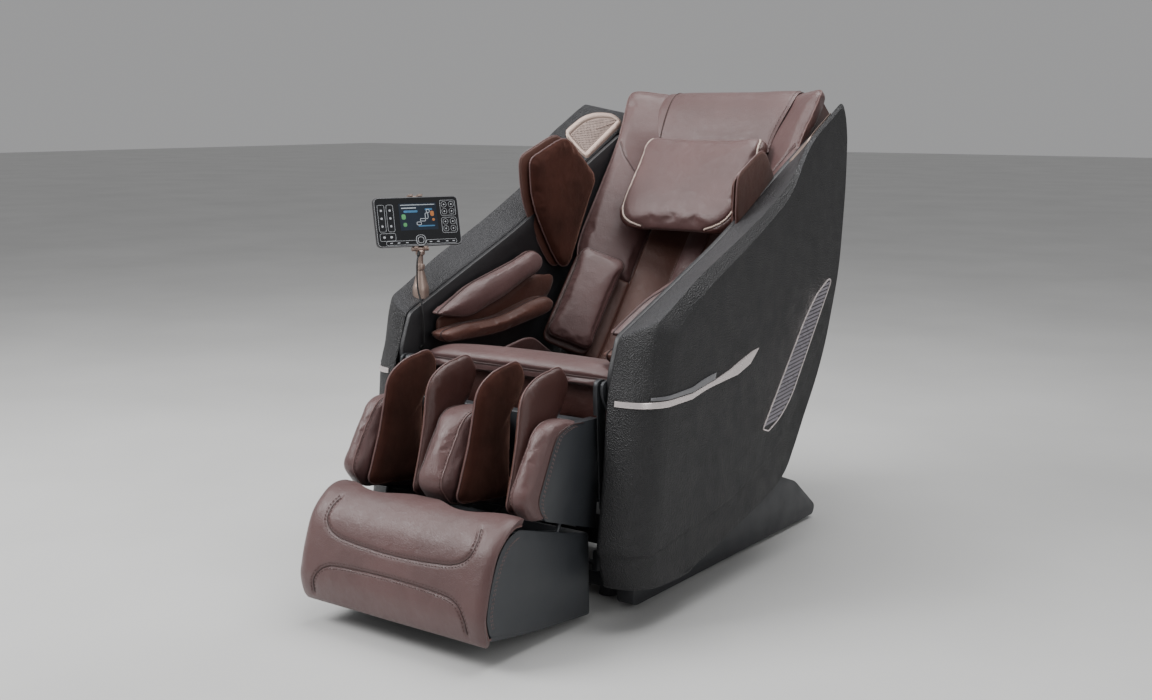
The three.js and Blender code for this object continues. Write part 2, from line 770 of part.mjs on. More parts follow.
// The outer bolsters wrap around the front and the top of the housing's side covers.
const coverRoom = across(inset(housingOutline, -GAP), LEG_HALF - LEG_SKIN - GAP, LEG_HALF + 1);
const outerBolster = cut(
  across(bolsterOutline, CALF.outerWall, LEG_HALF),
  coverRoom,
  block(LEG_HALF - LEG_SKIN - GAP, LEG_HALF + 1, -640, -530, 210, 470), // room for the pivot arm
);
const bolsterBacking = outline([
  [-591, 426, 0],
  [-606, 426, 0],
  [-612, 232, 0],
  [-596, 228, 0],
]);
const calfCover = join(
  outerBolster,
  mirrored(outerBolster),
  across(bolsterOutline, -CALF.innerWall, CALF.innerWall),
  across(bolsterBacking, -210, 210),
);
piece("calf_cover", calfCover, "leather");

const calfPadOutline = outline([
  [-762, 262, 16],
  [-784, 276, 14],
  [-745, 392, 40],
  [-724, 498, 26],
  [-676, 527, 24],
  [-588, 541, 22],
  [-563, 500, 20],
  [-592, 440, 10],
  [-610, 430, 10],
  [-614, 244, 14],
]);
pair("calf_pad_outer", across(calfPadOutline, 162, CALF.outerWall - GAP), "suede");
pair("calf_pad_inner", across(calfPadOutline, CALF.innerWall + GAP, 82), "suede");

// ---- Foot box ----

const footOutline = outline([
  [-804, 244, 12],
  [-846, 248, 22],
  [-878, 218, 30],
  [-904, 152, 40],
  [-917, 100, 16],
  [-902, 57, 14],
  [-760, 34, 40],
  [-572, 14, 8],
  [-576, 192, 8],
]);
const wellOutline = outline([
  [-800, 330, 0],
  [-798, 130, 40],
  [-760, 84, 20],
  [-606, 74, 20],
  [-596, 330, 0],
]);
const WELL = { inner: 26, outer: 206 };
const well = across(wellOutline, WELL.inner, WELL.outer);
const footCoverOutline = outline([
  [-806, 200, 6],
  [-806, 262, 12],
  [-846, 252, 22],
  [-878, 218, 30],
  [-904, 152, 40],
  [-917, 100, 16],
  [-902, 57, 14],
  [-890, 70, 10],
  [-896, 104, 20],
  [-860, 196, 30],
  [-830, 214, 14],
]);
const footCoverBody = across(footCoverOutline, -FOOT_HALF, FOOT_HALF);
const footBox = cut(
  across(footOutline, -FOOT_HALF, FOOT_HALF),
  well,
  mirrored(well),
  across(inset(footCoverOutline, -GAP), -FOOT_HALF - 1, FOOT_HALF + 1),
);
const FOOT_ROLLER = { y: -700, z: 82, radius: 20 };
// A round bar along the roller's axis.
const alongFootRoller = (fromX, toX, radius) =>
  bar([fromX, FOOT_ROLLER.y, FOOT_ROLLER.z], [toX, FOOT_ROLLER.y, FOOT_ROLLER.z], radius);
const rollerAxle = alongFootRoller(WELL.inner - 6, WELL.outer + 6, 4);
const rollerTrough = block(
  WELL.inner, WELL.outer, FOOT_ROLLER.y - 26, FOOT_ROLLER.y + 26, 54, 90);
const footBoxOpen = cut(footBox, rollerTrough, mirrored(rollerTrough));
const guideRod = footGuide(FOOT_GUIDE.length, FOOT_GUIDE.radius);
const footAxles = [rollerAxle, mirrored(rollerAxle)];
piece("foot_box", join(footBoxOpen, ...footAxles, guideRod, mirrored(guideRod)), "housing");
piece("foot_cover", footCoverBody, "leather");

const footRoller = cut(
  join(
    ...[64, 116, 168].map((x) => alongFootRoller(x - 12, x + 12, FOOT_ROLLER.radius)),
    alongFootRoller(44, 188, 10),
  ),
  alongFootRoller(30, 200, 4.6),
);
pair("foot_roller", footRoller, "plastic");

// ---- Tablet and its holder ----

const holderCone = join(
  bar([HOLDER.x, HOLDER.y, 590], [HOLDER.x, HOLDER.y, HOLDER.z], 19, 18, 18),
  bar([HOLDER.x, HOLDER.y, HOLDER.z], [HOLDER.x, HOLDER.y, HOLDER.z + 42], 18, 8.5, 18),
);
const holderBase = cut(
  holderCone,
  mirrored(panelSolid(GAP)),
  block(-292, -270, -520, -420, 560, 634), // nothing of it reaches the arm wall
);
piece("holder_base", holderBase, "champagne");

const STEM_TOP = 720;
const HEAD_TOP = 733;
const holderStem = join(
  bar([HOLDER.x, HOLDER.y, HOLDER.z + 42 + GAP], [HOLDER.x, HOLDER.y, STEM_TOP], 6.5),
  bar([HOLDER.x, HOLDER.y, STEM_TOP - 6], [HOLDER.x, HOLDER.y, HEAD_TOP], 11, 11, 14),
  bar([-303.8, -476.5, 732], [-299, -486, 722], 4, 3, 8),
);
piece("holder_stem", holderStem, "champagne");

const tabletGroup = new THREE.Group();
tabletGroup.position.set(HOLDER.x, HOLDER.y, HEAD_TOP + 11);
tabletGroup.rotation.set(TABLET_LEAN, 0, TABLET_TURN, "ZXY");
chair.add(tabletGroup);
const tabletRise = TABLET.height / 2 - 1;
const tabletFront = -TABLET.thick / 2;
const tabletBody = new THREE.ExtrudeGeometry(
  outline([
    [-TABLET.width / 2, -TABLET.height / 2, 12],
    [TABLET.width / 2, -TABLET.height / 2, 12],
    [TABLET.width / 2, TABLET.height / 2, 12],
    [-TABLET.width / 2, TABLET.height / 2, 12],
  ]),
  { depth: TABLET.thick, bevelEnabled: false, curveSegments: 4 },
).applyMatrix4(FRONT_VIEW).translate(0, TABLET.thick / 2, tabletRise);
piece("tablet", tabletBody, "glass", tabletGroup);
const clampBack = block(-17, 17, TABLET.thick / 2 + GAP, TABLET.thick / 2 + 4, -2, TABLET.height + 7);
const clampJaws = [-6.5, TABLET.height + 1.2].map((z) =>
  block(-17, 17, tabletFront - 3, TABLET.thick / 2 + 4, z, z + 5));
piece("tablet_clamp", join(clampBack, ...clampJaws), "champagne", tabletGroup);

// The tablet's cable: out of a gland on the stem's head, down in front of the cone, over the arm
// cap's inner edge and down the arm wall, which it enters beside the seat.
const cableRoute = [
  [-298.9, -486.2, 721.7],
  [-296.5, -491, 715.5],
  [-294.5, -494.5, 707],
  [-293, -497, 696],
  [-291.5, -499, 682],
  [-289.5, -501, 667],
  [-286.5, -503, 652],
  [-282, -504, 638],
  [-276.5, -505, 625],
  [-271.5, -505.5, 611],
  [-268.5, -505.5, 596],
  [-267.3, -505.5, 580],
  [-267, -505.5, 562],
  [-267, -505.5, 545],
  [-267, -505.5, 530],
  [-268.2, -505.5, 523.5],
  [-271.4, -505.5, 519.1],
  [-276.5, -505.5, 518],
];
const cablePath = new THREE.CatmullRomCurve3(cableRoute.map((point) => new THREE.Vector3(...point)));
const cableSection = new THREE.Shape().absarc(0, 0, CABLE_RADIUS, 0, 2 * Math.PI);
const cable = new THREE.ExtrudeGeometry(cableSection, {
  steps: 24,
  curveSegments: 4,
  extrudePath: cablePath,
});
piece("tablet_cable", cable, "rubber");

export default chair;
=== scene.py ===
"""Looks of the massage chair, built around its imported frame.

Lengths in the tables are millimetres in the chair's drawing frame: x from the centre plane (+x is
the sitter's left), y from the drawing's origin (-y is the way the sitter faces), z from the floor.
at() and on_back() turn them into metres in the row frame.
"""

import math

import bmesh
import bpy
import numpy as np
from mathutils import Matrix, Vector, kdtree
from mathutils.bvhtree import BVHTree


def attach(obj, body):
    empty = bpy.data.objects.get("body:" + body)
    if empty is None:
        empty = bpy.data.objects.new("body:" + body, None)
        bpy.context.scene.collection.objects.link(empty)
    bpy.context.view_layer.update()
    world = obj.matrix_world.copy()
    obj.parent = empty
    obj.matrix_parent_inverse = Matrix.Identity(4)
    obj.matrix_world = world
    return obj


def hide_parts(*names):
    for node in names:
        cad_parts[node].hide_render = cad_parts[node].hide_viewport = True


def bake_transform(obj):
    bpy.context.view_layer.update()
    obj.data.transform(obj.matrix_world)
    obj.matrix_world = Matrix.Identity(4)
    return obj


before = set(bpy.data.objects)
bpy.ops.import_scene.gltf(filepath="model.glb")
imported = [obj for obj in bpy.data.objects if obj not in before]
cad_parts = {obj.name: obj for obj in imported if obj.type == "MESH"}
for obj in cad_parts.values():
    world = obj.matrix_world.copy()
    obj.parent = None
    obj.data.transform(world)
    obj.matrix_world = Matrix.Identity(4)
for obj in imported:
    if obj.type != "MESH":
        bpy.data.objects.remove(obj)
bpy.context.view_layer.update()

MM = 0.001
DRAWING_SHIFT_Y = 183  # the row frame's origin is under the centre of the chair's box
SIDES = (("left", 1), ("right", -1))

# ---- Camera ----

camera = bpy.data.objects.new("camera", bpy.data.cameras.new("camera"))
bpy.context.scene.collection.objects.link(camera)
camera.location = (1.822, -2.630, 1.05)
camera.rotation_euler = (math.radians(80.13), 0, math.radians(35.8))
camera.data.sensor_width = 36
camera.data.lens = 43.125
bpy.context.scene.camera = camera


# ---- Places ----

BACK_FOOT = (-80, 440)  # y and z of the back's own origin
BACK_LEAN = math.radians(38)


def at(x, y, z):
    """A point of the drawing frame, in the row frame in metres."""
    return Vector((x, y + DRAWING_SHIFT_Y, z)) * MM


def on_back(x, y, z):
    """A point in the back's own directions: z up the back, -y towards the sitter."""
    c, s = math.cos(BACK_LEAN), math.sin(BACK_LEAN)
    return at(x, BACK_FOOT[0] + c * y + s * z, BACK_FOOT[1] - s * y + c * z)


def smooth(value, low, high):
    t = np.clip((value - low) / (high - low), 0, 1)
    return t * t * (3 - 2 * t)


def outline(corners, steps=6):
    """Closed 2-D outline from (u, v, reach) corners, each rounded over its reach along both edges."""
    points = []
    count = len(corners)
    for i, (u, v, wanted) in enumerate(corners):
        here = np.array((u, v), float)

        def along(other):
            edge = np.array(other[:2], float) - here
            length = np.linalg.norm(edge)
            return here + edge / length * min(wanted, length * 0.48)

        if not wanted:
            points.append(here)
            continue
        start, end = along(corners[i - 1]), along(corners[(i + 1) % count])
        for k in range(steps + 1):
            t = k / steps
            points.append((1 - t) ** 2 * start + 2 * t * (1 - t) * here + t * t * end)
    return np.array(points)


def resampled(points, count, closed=True):
    """The same line with count points, evenly spaced along it."""
    line = np.array([list(p) for p in points], float)
    if closed:
        line = np.vstack([line, line[:1]])
    step = np.linalg.norm(np.diff(line, axis=0), axis=1)
    keep = np.concatenate([[True], step > 1e-9])
    line = line[keep]
    reach = np.concatenate([[0], np.cumsum(np.linalg.norm(np.diff(line, axis=0), axis=1))])
    wanted = np.linspace(0, reach[-1], count + 1 if closed else count)
    if closed:
        wanted = wanted[:-1]
    return np.stack([np.interp(wanted, reach, line[:, k]) for k in range(line.shape[1])], axis=1)


def spline(points, per_span=4):
    """A smooth line through the points."""
    p = [np.array(q, float) for q in points]
    p = [2 * p[0] - p[1], *p, 2 * p[-1] - p[-2]]
    out = []
    for i in range(1, len(p) - 2):
        for k in range(per_span):
            t = k / per_span
            out.append(0.5 * (2 * p[i] + (p[i + 1] - p[i - 1]) * t
                              + (2 * p[i - 1] - 5 * p[i] + 4 * p[i + 1] - p[i + 2]) * t**2
                              + (3 * p[i] - p[i - 1] - 3 * p[i + 1] + p[i + 2]) * t**3))
    out.append(p[-2])
    return out


def inset(loop, distance):
    """A closed 2-D loop moved inwards."""
    before = loop - np.roll(loop, 1, axis=0)
    after = np.roll(loop, -1, axis=0) - loop
    into = before / np.linalg.norm(before, axis=1)[:, None]
    out_of = after / np.linalg.norm(after, axis=1)[:, None]
    tangent = into + out_of
    tangent /= np.maximum(np.linalg.norm(tangent, axis=1), 1e-9)[:, None]
    area = np.sum(loop[:, 0] * np.roll(loop[:, 1], -1) - np.roll(loop[:, 0], -1) * loop[:, 1])
    normal = np.stack([-tangent[:, 1], tangent[:, 0]], axis=1) * (1 if area > 0 else -1)
    return loop + normal * distance


# ---- Meshes ----


def new_object(name, mesh, material=None):
    obj = bpy.data.objects.new(name, mesh)
    bpy.context.scene.collection.objects.link(obj)
    if material:
        mesh.materials.append(material)
    return obj


def from_bmesh(name, bm, material=None, angle=None):
    """Welds, turns the faces out and shades smooth, with edges sharper than the angle kept crisp."""
    bmesh.ops.remove_doubles(bm, verts=bm.verts, dist=1e-6)
    bmesh.ops.dissolve_degenerate(bm, edges=bm.edges, dist=1e-7)
    bmesh.ops.recalc_face_normals(bm, faces=bm.faces)
    for face in bm.faces:
        face.smooth = True
    if angle is not None:
        for edge in bm.edges:
            if len(edge.link_faces) == 2 and edge.calc_face_angle(0) > math.radians(angle):
                edge.smooth = False
    mesh = bpy.data.meshes.new(name)
    bm.to_mesh(mesh)
    bm.free()
    return new_object(name, mesh, material)


def add_grid(bm, rows, wrap_rows=False, wrap_columns=False):
    made = [[bm.verts.new(p) for p in row] for row in rows]
    count, width = len(made), len(made[0])
    for i in range(count if wrap_rows else count - 1):
        for j in range(width if wrap_columns else width - 1):
            a, b = made[i], made[(i + 1) % count]
            k = (j + 1) % width
            bm.faces.new((a[j], a[k], b[k], b[j]))
    return made


def grid_object(name, rows, material, angle=None, **wraps):
    bm = bmesh.new()
    add_grid(bm, rows, **wraps)
    return from_bmesh(name, bm, material, angle)


def loft(name, rings, material, angle=None):
    """A closed body through rings of points, with flat ends."""
    bm = bmesh.new()
    made = add_grid(bm, rings, wrap_columns=True)
    for ring in (made[0], made[-1]):
        bm.faces.new(ring)
    return from_bmesh(name, bm, material, angle)


def add_tube(bm, path, radius, sides=8, closed=False):
    """A tube along a path; the radius is one number or one per point."""
    points = [Vector(p) for p in path]
    count = len(points)
    radii = [radius] * count if isinstance(radius, (int, float)) else list(radius)
    rings = []
    side = None
    for i, point in enumerate(points):
        before = points[i - 1] if closed or i else points[i]
        after = points[(i + 1) % count] if closed or i < count - 1 else points[i]
        tangent = (after - before).normalized()
        if side is None:
            side = tangent.orthogonal().normalized()
        side = (side - tangent * side.dot(tangent)).normalized()
        up = tangent.cross(side)
        rings.append([point + radii[i] * (math.cos(a) * side + math.sin(a) * up)
                      for a in (2 * math.pi * k / sides for k in range(sides))])
    made = add_grid(bm, rings, wrap_rows=closed, wrap_columns=True)
    if not closed:
        for ring in (made[0], made[-1]):
            bm.faces.new(ring)


def tube(name, path, radius, material, sides=8, closed=False):
    bm = bmesh.new()
    add_tube(bm, path, radius, sides, closed)
    return from_bmesh(name, bm, material, 40)


def add_plate(bm, loop, low, high, place):
    """A closed 2-D loop given thickness from low to high, put in place by place(u, v, w)."""
    rings = [[bm.verts.new(place(u, v, w)) for u, v in loop] for w in (low, high)]
    count = len(loop)
    for i in range(count):
        k = (i + 1) % count
        bm.faces.new((rings[0][i], rings[0][k], rings[1][k], rings[1][i]))
    bm.faces.new(rings[0])
    bm.faces.new(rings[1])


def pad(name, loop, place, half, edge, crown, material, back_crown=None, rings=9, count=140):
    """A stuffed pad: rounded edges around the outline and crowned faces.

    half is the thickness at the edge on each side of the middle plane, and crown what the face
    rises further towards the middle. place(u, v, w) puts it in place; +w is the front.
    """
    loop = resampled(loop, count)
    back_crown = crown if back_crown is None else back_crown
    rim = inset(loop, edge)
    middle = rim.mean(axis=0)
    bm = bmesh.new()
    levels = []
    for sign, rise in ((-1, back_crown), (1, crown)):
        side = []
        for k in range(5):
            angle = math.radians(90 * k / 4)
            side.append((inset(loop, edge * (1 - math.cos(angle))), sign * half * math.sin(angle)))
        for k in range(1, rings + 1):
            t = k / (rings + 1)
            side.append((rim + (middle - rim) * t, sign * (half + rise * (1 - (1 - t) ** 2.4))))
        levels.append(side)
    order = levels[0][::-1] + levels[1][1:]
    made = add_grid(bm, [[place(u, v, w) for u, v in ring] for ring, w in order], wrap_columns=True)
    for ring, w in ((made[0], -(half + back_crown)), (made[-1], half + crown)):
        pole = bm.verts.new(place(middle[0], middle[1], w))
        for i in range(count):
            bm.faces.new((ring[i], ring[(i + 1) % count], pole))
    return from_bmesh(name, bm, material)


def mirror_copy(obj, name):
    """The same piece on the sitter's other side."""
    mesh = obj.data.copy()
    mesh.transform(Matrix.Scale(-1, 4, (1, 0, 0)))
    mesh.flip_normals()
    return new_object(name, mesh)


def applied(obj):
    """Applies the object's modifiers."""
    depsgraph = bpy.context.evaluated_depsgraph_get()
    mesh = bpy.data.meshes.new_from_object(obj.evaluated_get(depsgraph))
    obj.modifiers.clear()
    obj.data = mesh
    return obj


def subdivided(obj, levels=1):
    modifier = obj.modifiers.new("subdivide", "SUBSURF")
    modifier.levels = modifier.render_levels = levels
    return applied(obj)


def thickened(obj, thickness, offset=-1):
    """Gives a sheet thickness, behind it (-1) or in front of it (1)."""
    solid = obj.modifiers.new("thickness", "SOLIDIFY")
    solid.thickness = thickness
    solid.offset = offset
    return applied(obj)


def softened(obj, width, segments=2):
    """Rounds the edges a little."""
    bevel = obj.modifiers.new("edge", "BEVEL")
    bevel.width = width
    bevel.segments = segments
    return applied(obj)


def shaded_smooth(obj):
    for face in obj.data.polygons:
        face.use_smooth = True
    return obj


SIM_FRAMES = 20


def puffed(obj, voxel=0.005, cap=0.007, pressure=4.0, stiffness=15):
    """Lets a pad swell like a stuffed leather skin, and keeps each point within cap of its start."""
    remesh = obj.modifiers.new("remesh", "REMESH")
    remesh.mode = "VOXEL"
    remesh.voxel_size = voxel
    applied(obj)
    start = np.array([v.co for v in obj.data.vertices])
    cloth = obj.modifiers.new("cloth", "CLOTH")
    cloth.settings.use_pressure = True
    cloth.settings.uniform_pressure_force = pressure
    cloth.settings.tension_stiffness = stiffness
    cloth.settings.compression_stiffness = stiffness
    cloth.settings.effector_weights.gravity = 0
    cloth.collision_settings.use_collision = False
    cloth.point_cache.frame_start = 1
    cloth.point_cache.frame_end = SIM_FRAMES
    for number in range(1, SIM_FRAMES + 1):
        bpy.context.scene.frame_set(number)
    applied(obj)
    bpy.context.scene.frame_set(1)
    end = np.array([v.co for v in obj.data.vertices])
    moved = end - start
    reach = np.linalg.norm(moved, axis=1)
    moved *= (np.minimum(reach, cap) / np.maximum(reach, 1e-9))[:, None]
    obj.data.vertices.foreach_set("co", (start + moved).ravel())
    return shaded_smooth(subdivided(obj))


def surface_of(obj):
    bm = bmesh.new()
    bm.from_mesh(obj.data)
    tree = BVHTree.FromBMesh(bm)
    bm.free()
    return tree


def snapped(points, tree, lift=0.0):
    """Points moved to the nearest place on a surface, and lifted off it."""
    out = []
    for point in points:
        place, normal, _, _ = tree.find_nearest(Vector(point))
        out.append(place + normal * lift)
    return out


def shot(points, tree, direction, lift=0.0, reach=0.3):
    """Points dropped onto a surface along a direction; those that miss it are left out."""
    direction = Vector(direction).normalized()
    out = []
    for point in points:
        place, normal, _, _ = tree.ray_cast(Vector(point) - direction * reach, direction, 2 * reach)
        if place is not None:
            if normal.dot(direction) > 0:
                normal = -normal
            out.append(place + normal * lift)
    return out


def pressed(obj, paths, width, depth):
    """Presses grooves into a surface along paths, as a seam's thread does."""
    tree = kdtree.KDTree(sum(len(p) for p in paths))
    index = 0
    for path in paths:
        for point in path:
            tree.insert(Vector(point), index)
            index += 1
    tree.balance()
    mesh = obj.data
    for vertex in mesh.vertices:
        _, _, gap = tree.find(vertex.co)
        if gap < 3 * width:
            vertex.co -= vertex.normal * depth * math.exp(-((gap / width) ** 2))
    return obj


def dense(points, step=0.002, closed=False):
    line = np.array([list(p) for p in points], float)
    ends = np.vstack([line, line[:1]]) if closed else line
    length = np.sum(np.linalg.norm(np.diff(ends, axis=0), axis=1))
    return [Vector(p) for p in resampled(line, max(3, int(length / step)), closed)]


STITCH = {"length": 0.0052, "gap": 0.0030, "radius": 0.00075, "sampling": 0.001}


def stitches(name, path, material, closed=False):
    """A run of separate stitches along a path."""
    bm = bmesh.new()
    step = STITCH["sampling"]
    line = dense(path, step, closed)
    pitch = STITCH["length"] + STITCH["gap"]
    count = max(1, int(len(line) * step / pitch))
    for i in range(count):
        first = int(i * pitch / step)
        last = min(len(line) - 1, first + int(STITCH["length"] / step))
        if last - first < 3:
            continue
        middle = (first + last) // 2
        radius = STITCH["radius"]
        add_tube(bm, [line[first], line[middle], line[last]], [radius * 0.5, radius, radius * 0.5], 5)
    return from_bmesh(name, bm, material)


def piping(name, loop, place, w, tree, radius, material, lift=0.0004, count=180):
    """A cord along a pad's outline, laid on its skin; place(u, v, w) is the pad's own placing."""
    run = snapped([place(u, v, w) for u, v in resampled(loop, count)], tree, lift)
    return tube(name, run, radius, material, 8, closed=True)


def lathe(name, profile, centre, material, sides=40, angle=35):
    """A turned piece: (radius, height) pairs around a vertical axis."""
    turns = [2 * math.pi * k / sides for k in range(sides)]
    rings = [[centre + Vector((r * math.cos(a), r * math.sin(a), h)) * MM for a in turns] for r, h in profile]
    return loft(name, rings, material, angle)


# ---- Materials ----

NOISE_SPAN = (0.3, 0.7)  # the noise textures lie mostly between these

def material(name, colour, rough, metal=0.0, mottle=(6, 0.12), grain=None, wrinkle=None,
             rough_range=0.08, **sockets):
    """A procedural finish: mottled colour, uneven roughness, and grain and wrinkles as bump.

    mottle is (cells per metre, share of the colour); grain and wrinkle are (cells per metre, height
    in metres). Other sockets are set on the shader by name.
    """
    made = bpy.data.materials.new(name)
    made.use_nodes = True
    nodes, links = made.node_tree.nodes, made.node_tree.links
    shader = nodes["Principled BSDF"]
    shader.inputs["Metallic"].default_value = metal
    for key, value in sockets.items():
        shader.inputs[key.replace("_", " ")].default_value = value
    where = nodes.new("ShaderNodeTexCoord").outputs["Object"]

    def noise(scale, detail=3):
        node = nodes.new("ShaderNodeTexNoise")
        node.inputs["Scale"].default_value = scale
        node.inputs["Detail"].default_value = detail
        links.new(where, node.inputs["Vector"])
        return node.outputs["Fac"]

    scale, share = mottle
    ramp = nodes.new("ShaderNodeValToRGB")
    for stop, position, factor in zip(ramp.color_ramp.elements, NOISE_SPAN, (1 - share, 1 + share)):
        stop.position = position
        stop.color = (*[min(1, c * factor) for c in colour], 1)
    links.new(noise(scale), ramp.inputs["Fac"])
    links.new(ramp.outputs["Color"], shader.inputs["Base Color"])
    spread = nodes.new("ShaderNodeMapRange")
    spread.inputs["From Min"].default_value, spread.inputs["From Max"].default_value = NOISE_SPAN
    spread.inputs["To Min"].default_value = max(0.02, rough - rough_range)
    spread.inputs["To Max"].default_value = min(1, rough + rough_range)
    links.new(noise(scale * 5), spread.inputs["Value"])
    links.new(spread.outputs["Result"], shader.inputs["Roughness"])
    normal = None
    if wrinkle:
        bump = nodes.new("ShaderNodeBump")
        bump.inputs["Distance"].default_value = wrinkle[1]
        links.new(noise(wrinkle[0], 4), bump.inputs["Height"])
        normal = bump.outputs["Normal"]
    if grain:
        cells = nodes.new("ShaderNodeTexVoronoi")
        cells.inputs["Scale"].default_value = grain[0]
        links.new(where, cells.inputs["Vector"])
        bump = nodes.new("ShaderNodeBump")
        bump.inputs["Distance"].default_value = grain[1]
        links.new(cells.outputs["Distance"], bump.inputs["Height"])
        if normal:
            links.new(normal, bump.inputs["Normal"])
        normal = bump.outputs["Normal"]
    if normal:
        links.new(normal, shader.inputs["Normal"])
    return made


LEATHER = material("leather", (0.098, 0.048, 0.046), 0.37, mottle=(9, 0.1), grain=(700, 0.00035),
                   wrinkle=(28, 0.0018), Specular_IOR_Level=0.55, Sheen_Weight=0.12, Sheen_Roughness=0.5)
LEATHER_GUSSET = material("leather_gusset", (0.07, 0.03, 0.026), 0.36, mottle=(9, 0.12), grain=(700, 0.00035),
                          wrinkle=(30, 0.002), Specular_IOR_Level=0.55)
BROWN = material("brown_leather", (0.088, 0.033, 0.023), 0.46, mottle=(7, 0.16), grain=(650, 0.00035),
                 wrinkle=(18, 0.003), Sheen_Weight=0.15, Sheen_Roughness=0.4)
SUEDE = material("suede", (0.05, 0.018, 0.013), 0.95, mottle=(14, 0.35), grain=(1500, 0.0003),
                 wrinkle=(40, 0.0012), rough_range=0.04, Specular_IOR_Level=0.15, Sheen_Weight=0.55,
                 Sheen_Roughness=0.35, Sheen_Tint=(0.75, 0.42, 0.33, 1))
PIPING_DARK = material("dark_piping", (0.045, 0.022, 0.02), 0.42, grain=(900, 0.0002))
PIPING_LEATHER = material("leather_piping", (0.15, 0.085, 0.08), 0.38, grain=(900, 0.0002))
PIPING_CREAM = material("cream_piping", (0.62, 0.5, 0.43), 0.35, mottle=(20, 0.05), grain=(900, 0.0002))
THREAD = material("thread", (0.075, 0.035, 0.032), 0.6, mottle=(60, 0.1), grain=(2500, 0.0001))
THREAD_LIGHT = material("light_thread", (0.22, 0.14, 0.13), 0.6, mottle=(60, 0.1), grain=(2500, 0.0001))
SHELL = material("textured_shell", (0.0135, 0.0133, 0.0146), 0.42, mottle=(5, 0.08), grain=(380, 0.002),
                 wrinkle=(160, 0.0012), Specular_IOR_Level=0.5)
# A lighter copy of the shell's finish for the arm cap's top: painted light where the cap faces up
CAP_SHELL_PAINTED_LIGHT = material("cap_shell_painted_light", (0.027, 0.027, 0.03), 0.46, mottle=(5, 0.08), grain=(380, 0.002),
                     wrinkle=(160, 0.0012), Specular_IOR_Level=0.5)
BASE_SHELL = material("base_shell", (0.03, 0.031, 0.035), 0.42, mottle=(4, 0.06), grain=(1300, 0.00012))
HOUSING = material("housing", (0.034, 0.037, 0.042), 0.4, mottle=(4, 0.05), grain=(1400, 0.0001),
                   Coat_Weight=0.1, Coat_Roughness=0.35)
STEEL = material("black_steel", (0.04, 0.042, 0.046), 0.42, metal=0.35, mottle=(10, 0.1),
                 grain=(900, 0.00012))
CHROME = material("chrome", (0.72, 0.72, 0.74), 0.12, metal=1, mottle=(10, 0.04), rough_range=0.03)
SILVER = material("pink_silver", (0.82, 0.74, 0.73), 0.26, metal=0.55, mottle=(10, 0.04), rough_range=0.05)
STRIP_GLASS = material("strip_lens", (0.16, 0.16, 0.17), 0.12, mottle=(10, 0.05), rough_range=0.03,
                       Coat_Weight=0.6, Coat_Roughness=0.05)
# Near-black painted shade for the hollows behind the vent slats and in the speaker holes
RECESS_PAINTED_SHADE = material("painted_recess_shade", (0.006, 0.006, 0.007), 0.4, mottle=(20, 0.1), grain=(600, 0.0003))
SLAT = material("vent_slats", (0.25, 0.23, 0.26), 0.3, mottle=(20, 0.1), rough_range=0.05)
CHAMPAGNE = material("champagne", (0.37, 0.28, 0.24), 0.4, metal=0.7, mottle=(12, 0.04), rough_range=0.05,
                     grain=(1600, 0.00004))
GRILLE = material("speaker_mesh", (0.3, 0.225, 0.195), 0.5, metal=0.4, mottle=(12, 0.05))
PLASTIC = material("black_plastic", (0.018, 0.018, 0.02), 0.42, mottle=(8, 0.1), grain=(1100, 0.0002))
RUBBER = material("rubber", (0.014, 0.014, 0.014), 0.75, mottle=(30, 0.2), grain=(900, 0.0003))
CABLE_SKIN = material("cable_skin", (0.012, 0.012, 0.013), 0.5, mottle=(60, 0.1), grain=(1800, 0.0001))
GLASS = material("black_glass", (0.005, 0.006, 0.008), 0.1, mottle=(6, 0.1), rough_range=0.03,
                 Coat_Weight=0.5, Coat_Roughness=0.04)
KEY_LINE = material("key_marks", (0.55, 0.57, 0.6), 0.4, mottle=(30, 0.03))
SCREEN = material("screen", (0.012, 0.02, 0.034), 0.15, mottle=(12, 0.3), rough_range=0.03)
SCREEN_BLUE = material("screen_blue", (0.06, 0.22, 0.42), 0.3, mottle=(40, 0.2))
SCREEN_GREEN = material("screen_green", (0.12, 0.42, 0.16), 0.3, mottle=(40, 0.2))
SCREEN_ORANGE = material("screen_orange", (0.55, 0.2, 0.06), 0.3, mottle=(40, 0.2))
SCREEN_PALE = material("screen_pale", (0.6, 0.66, 0.72), 0.3, mottle=(40, 0.1))


def fitted(obj, body, replaces=()):
    """Hands a finished piece to the frame."""
    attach(obj, body)
    if replaces:
        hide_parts(*replaces)
    return obj


def both_sides(obj, name, body, node=None, extras=()):
    """The left piece as made and its mirror image; extras are (object, name) that go with them."""
    for side, sign in SIDES:
        whole = obj if sign > 0 else mirror_copy(obj, f"{name}_right")
        fitted(whole, body, (f"{node}_{side}",) if node else ())
        for extra, extra_name in extras:
            other = extra if sign > 0 else mirror_copy(extra, f"{extra_name}_right")
            fitted(other, body)


# ---- Tablet cable ----

CABLE_ROUTE = [
    (-298.9, -486.2, 721.7), (-296.5, -491, 715.5), (-294.5, -494.5, 707), (-293, -497, 696),
    (-291.5, -499, 682), (-289.5, -501, 667), (-286.5, -503, 652), (-282, -504, 638),
    (-276.5, -505, 625), (-271.5, -505.5, 611), (-268.5, -505.5, 596), (-267.3, -505.5, 580),
    (-267, -505.5, 562), (-267, -505.5, 545), (-267, -505.5, 530), (-268.2, -505.5, 523.5),
    (-271.4, -505.5, 519.1), (-276.5, -505.5, 518),
]
CABLE_DIAMETER = 0.004


